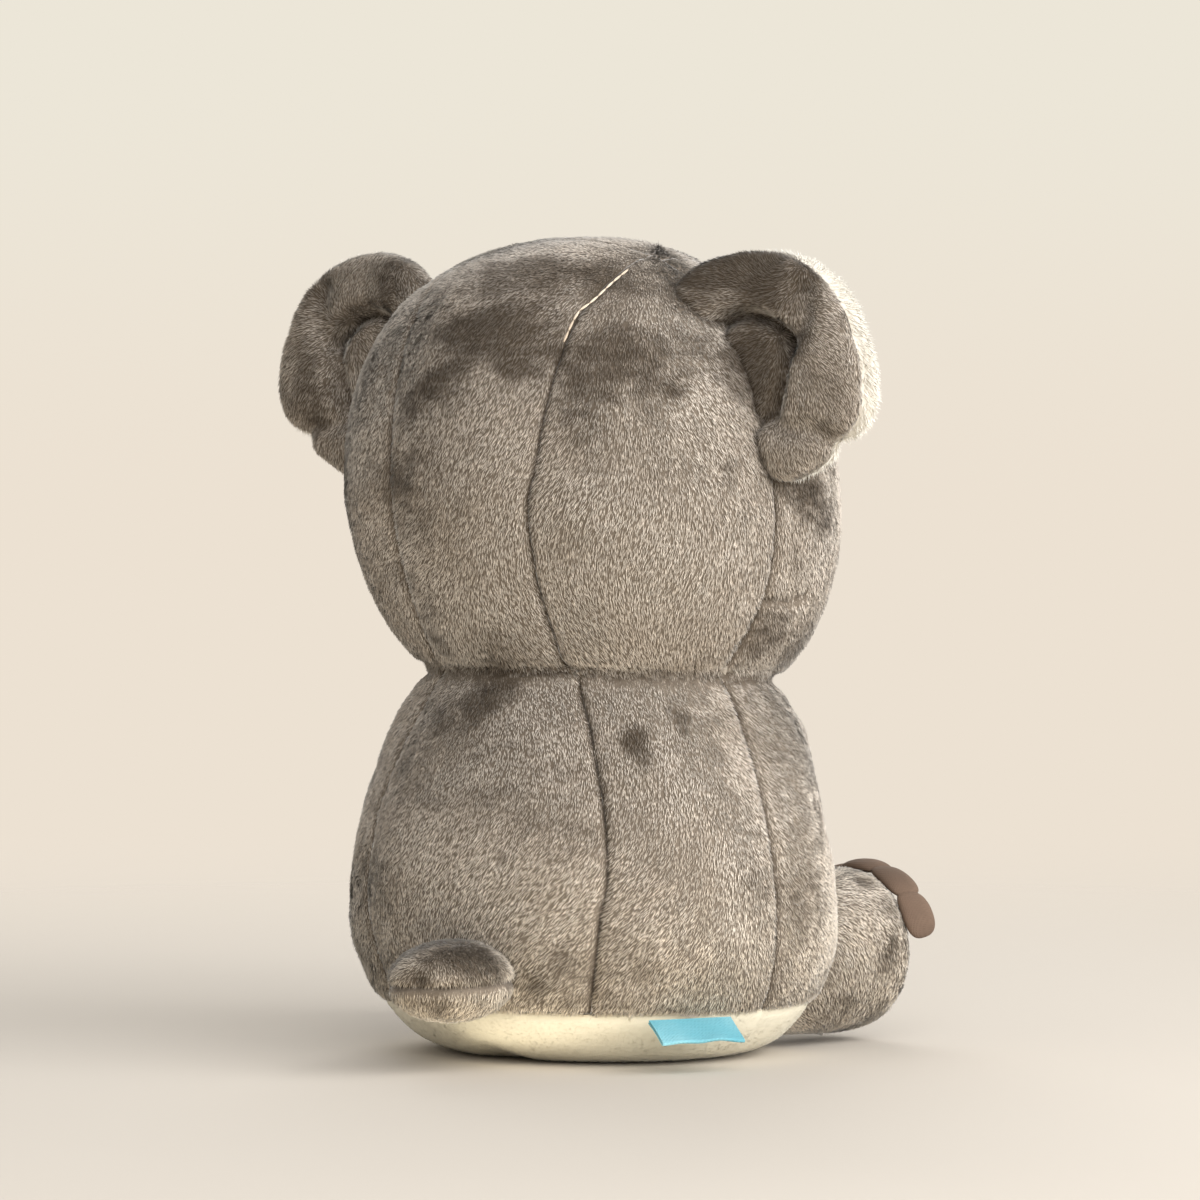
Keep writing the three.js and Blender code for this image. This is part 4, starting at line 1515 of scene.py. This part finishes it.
def earBall(side):
    cx, cy, cz = ear["middle"]
    radius = closedPolar(ear["outline"], (cx, cz))
    power = 2 / ear["round"]

    def point(p, inset):
        flat = math.hypot(p.x, p.z)
        reach = (radius(math.atan2(p.z, p.x)) - inset) * flat ** power
        x, z = (p.x / flat * reach, p.z / flat * reach) if flat > 1e-9 else (0, 0)
        y = math.copysign(abs(p.y) ** power, p.y) * (ear["halfDepth"] - inset / 2)
        x, z = cx + x, cz + z
        if p.y > 0:
            y = creasedBack(x, z, y, min(1, abs(p.y) ** power * ear["creaseReach"]))
        else:
            dx, dz = (x - cx) / ear["dishHalf"][0], (z - cz) / ear["dishHalf"][1]
            y += ear["dish"] * math.exp(-(dx * dx + dz * dz) ** 2)
            rise = math.sin(math.pi * min(1, abs(p.y) * ear["swellRise"]))
            swell = ear["swell"] * clamp(dx + ear["swellFrom"]) * rise * flat
            x += p.x / max(flat, 1e-6) * swell
            z += p.z / max(flat, 1e-6) * swell * ear["swellUp"]
        (fromX, overX), (fromZ, overZ) = ear["bendAcross"], ear["bendUp"]
        bend = ear["rootBend"] * clamp((fromX - x) / overX) * clamp((z - fromZ) / overZ)
        return Vector((x * side, cy + y + bend, z))
    return warpedBall(point, ear["pileRoom"], formFineness)


def fromEarMiddle(place):
    x, y, z = ear["middle"]
    return place - Vector((math.copysign(x, place.x), y, z))


def swirled(out, place, way):
    return out + Vector((0, 0, -way["down"])) + noise.noise_vector(place * way["swirlScale"]) * way["swirl"]


def earNap(place, normal):
    return combed(swirled(fromEarMiddle(place).normalized(), place, ear["nap"]), normal)


def fringeNap(place, normal):
    out = fromEarMiddle(place)
    out.y = 0
    return combed(swirled(out / ear["fringe"]["out"], place, ear["fringe"]), normal)


def straightEar(place):
    x, _, z = ear["middle"]
    out = (abs(place.x) - x) / ear["driftAcross"] + (place.z - z) / ear["driftUp"]
    return place - Vector((0, ear["seamDrift"] * clamp(out), 0))


def makeEar(side, word):
    print("ear", word)
    head = headTree()
    form = earBall(side)
    surface = BVHTree.FromBMesh(form)
    # painted shade along the ear's root and in its deepest creases
    roots = meetingLine(form, head)
    for _, _, line in ear["creases"][:ear["shadedCreases"]]:
        for spot in stepped([(x * side, ear["behind"], z) for x, z in line]):
            roots.append(surface.ray_cast(spot, Vector((0, -1, 0)))[0] or spot)
    roots = pointTree(roots)
    x, y, z = ear["middle"]
    kinds = (
        ("ear_back_", -1, "greyPlush", "short", earNap),
        ("ear_lining_", 1, "whiteFur", "fringe", fringeNap),
    )
    for name, way, skin, pile, nap in kinds:
        bm = cutPanel(form, [((0, ear["seamY"], 0), (0, way, 0))], straightEar)
        edge = rimPoints(bm)
        trimInside(bm, head, ear["rootDepth"])
        dressSkin(bm, {**seamLook, **ear["seam"]}, edge, nap=nap, roots=roots, shade=ear["shade"])
        middle = Vector((x * side, y + way * ear["mapBack"], z))
        finishPlush(bm, name + word, skin, pile, "ear_" + word, middle, ear["wall"])
    form.free()


# Face

face = {
    "eye": (0.035, 0.206),
    "eyeRadius": 0.0066,
    "eyeDome": 0.0044,
    "eyeEdge": 0.0012,
    "eyeSteps": 10,
    "eyeSeatShare": 0.8,
    "shankRadius": 0.0022,
    "shankLength": 0.012,
    "shankTop": 0.001,
    "washerRadius": 0.008,
    "washerHole": 0.0026,
    "washerThick": 0.0014,
    "washerEdge": (0.0006, 0.0004),
    "washerDepth": 0.0075,
    "noseZ": 0.187,
    "noseHalf": (0.016, 0.011, 0.020),
    "noseTaper": 0.16,
    "mouthZ": 0.158,
    "mouthHalfWidth": 0.012,
    "mouthSag": 0.005,
    "stitchRadius": 0.0008,
    "stitchCount": 7,
    "stitchLift": 0.0012,
    "stitchShare": 0.56,
}


def onFace(tree, x, z):
    spot, normal, _, _ = tree.ray_cast(Vector((x, -1, z)), Vector((0, 1, 0)))
    return spot, normal


def standing(bm, spot, normal):
    turn = Vector((0, 0, 1)).rotation_difference(normal).to_matrix().to_4x4()
    bmesh.ops.transform(bm, verts=bm.verts, matrix=Matrix.Translation(spot) @ turn)


def turnedProfile(points, steps=32):
    # a profile spun about its own axis
    bm = bmesh.new()
    line = [bm.verts.new((r, 0, z)) for r, z in points]
    edges = [bm.edges.new(pair) for pair in zip(line, line[1:])]
    bmesh.ops.spin(bm, geom=line + edges, cent=(0, 0, 0), axis=(0, 0, 1), angle=2 * math.pi,
                   steps=steps, use_merge=True, use_duplicate=False)
    bmesh.ops.remove_doubles(bm, verts=bm.verts, dist=1e-6)
    return bm


def layStitches(pairs, radius, share):
    # a plump length of thread between the places of each pair
    bm = bmesh.new()
    for a, b in pairs:
        reach = b - a
        made = bmesh.ops.create_icosphere(bm, subdivisions=2, radius=1)["verts"]
        turn = Vector((1, 0, 0)).rotation_difference(reach).to_matrix().to_4x4()
        size = Matrix.Diagonal((reach.length * share, radius, radius, 1))
        bmesh.ops.transform(bm, verts=made, matrix=Matrix.Translation((a + b) / 2) @ turn @ size)
    return bm


def eyeProfile():
    # the shank, the flat seat and the dome
    radius, shank, depth = face["eyeRadius"], face["shankRadius"], face["shankLength"]
    steps = face["eyeSteps"]
    turns = [math.pi / 2 * k / steps for k in range(steps + 1)]
    dome = [(radius * math.cos(turn), face["eyeEdge"] + face["eyeDome"] * math.sin(turn)) for turn in turns]
    seat = (radius * face["eyeSeatShare"], 0)
    return [(0, -depth), (shank, -depth), (shank, -face["shankTop"]), seat, *dome]


def washerProfile():
    outer, inner, thick = face["washerRadius"], face["washerHole"], face["washerThick"]
    across, up = face["washerEdge"]
    return [(inner, 0), (outer - across, 0), (outer, up), (outer, thick - up), (outer - across, thick),
            (inner, thick), (inner, 0)]


def makeFace():
    print("face")
    tree = headTree(formFineness)
    for side, word in ((-1, "right"), (1, "left")):
        spot, normal = onFace(tree, face["eye"][0] * side, face["eye"][1])
        eye = turnedProfile(eyeProfile())
        standing(eye, spot, normal)
        finishPlain(eye, "eye_bead_" + word, "eyeGloss", "torso", ["eye_" + word])
        ring = turnedProfile(washerProfile())
        standing(ring, spot - normal * face["washerDepth"], normal)
        finishPlain(ring, "eye_back_" + word, "washer", "torso", ["eye_washer_" + word])
    makeNose(tree)
    makeMouth(tree)


def makeNose(tree):
    spot, _ = onFace(tree, 0, face["noseZ"])
    across, deep, high = face["noseHalf"]
    bm = newBall(guideFineness)
    for v in bm.verts:
        wide = 1 - face["noseTaper"] * v.co.z
        v.co = Vector((v.co.x * across * wide, v.co.y * deep, v.co.z * high)) + spot
    finishPlain(bm, "nose_pad", "noseCloth", "torso", ["nose"])


def makeMouth(tree):
    # short straight stitches along a shallow smile
    count = face["stitchCount"]
    spots = []
    for i in range(count + 1):
        share = 2 * i / count - 1
        height = face["mouthZ"] + face["mouthSag"] * share ** 2
        spot, normal = onFace(tree, share * face["mouthHalfWidth"], height)
        spots.append(spot + normal * face["stitchLift"])
    bm = layStitches(zip(spots, spots[1:]), face["stitchRadius"], face["stitchShare"])
    finishPlain(bm, "mouth_thread", "thread", "torso", ["mouth_stitch"])


# Pale thread that shows where the right back seam is closed by hand

thread = {
    "line": [
        (-0.0404, 0.0405, 0.2847), (-0.0372, 0.0575, 0.2743),
        (-0.0340, 0.0631, 0.2700), (-0.0325, 0.0708, 0.2591),
    ],
    "radius": 0.00042,
    "stitch": 0.0048,
    "ends": (0.02, 0.98),
    "share": 0.55,
    "proud": 0.0006,
}


def makeThread():
    print("crown stitching")
    tree = treeOf(warpedBall(headPoint, 0, formFineness))
    line = [Vector(spot) for spot in thread["line"]]
    run = sum((b - a).length for a, b in zip(line, line[1:]))
    curve = outlineCurve(thread["line"])
    count = round(run / thread["stitch"])
    pairs = []
    for i in range(count):
        hits = [tree.find_nearest(alongOutline(curve, (i + share) / count)) for share in thread["ends"]]
        pairs.append([hit[0] + hit[1] * thread["proud"] for hit in hits])
    bm = layStitches(pairs, thread["radius"], thread["share"])
    finishPlain(bm, "seam_thread", "paleThread", "torso", [])


# Label: a bare ribbon folded into a loop

label = {
    "width": 0.032,
    "length": 0.014,
    "thick": 0.0005,
    "space": 0.0009,
    "droop": 28,
    "heading": 146,
    "root": (-0.06795, 0.04334, 0.0185),
    "cells": (16, 10),
    "bendSteps": 8,
    "ripple": 0.0014,
    "rippleScale": 90,
}


def loopProfile():
    # out along the lower side, round the fold and back along the upper side
    half = label["space"] / 2
    bend = label["length"] - half
    cells, steps = label["cells"][1], label["bendSteps"]
    turns = [math.pi * k / steps for k in range(steps + 1)]
    profile = [(bend * k / cells, -half) for k in range(cells)]
    profile += [(bend + half * math.sin(turn), -half * math.cos(turn)) for turn in turns]
    return profile + [(bend * (1 - k / cells), half) for k in range(1, cells + 1)]


def makeLabel():
    print("label")
    bm = bmesh.new()
    across = label["cells"][0]
    line = [bm.verts.new((x, -label["width"] / 2, z)) for x, z in loopProfile()]
    edges = [bm.edges.new(pair) for pair in zip(line, line[1:])]
    for step in range(across):
        made = bmesh.ops.extrude_edge_only(bm, edges=edges)["geom"]
        line = [v for v in made if isinstance(v, bmesh.types.BMVert)]
        edges = [e for e in made if isinstance(e, bmesh.types.BMEdge)]
        bmesh.ops.translate(bm, verts=line, vec=(0, label["width"] / across, 0))
    for v in bm.verts:
        share = v.co.x / label["length"]
        v.co.z += share * label["ripple"] * noise.noise(Vector((v.co.y * label["rippleScale"], share, 0)))
    heading = Matrix.Rotation(math.radians(label["heading"]), 4, "Z")
    droop = Matrix.Rotation(math.radians(label["droop"]), 4, "Y")
    bmesh.ops.transform(bm, verts=bm.verts, matrix=Matrix.Translation(label["root"]) @ heading @ droop)
    bmesh.ops.recalc_face_normals(bm, faces=bm.faces)
    made = objectFrom(bm, "ribbon_loop")
    made.data.materials.append(materials["ribbon"])
    solid = made.modifiers.new("thickness", "SOLIDIFY")
    solid.thickness = label["thick"]
    solid.offset = 0
    settle(made)
    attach(made, "label")
    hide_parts("label")


makeStuffing()
makeHead()
makeBody()
makeLimbs()
makeTail()
makeEar(-1, "right")
makeEar(1, "left")
makeFace()
makeThread()
makeLabel()
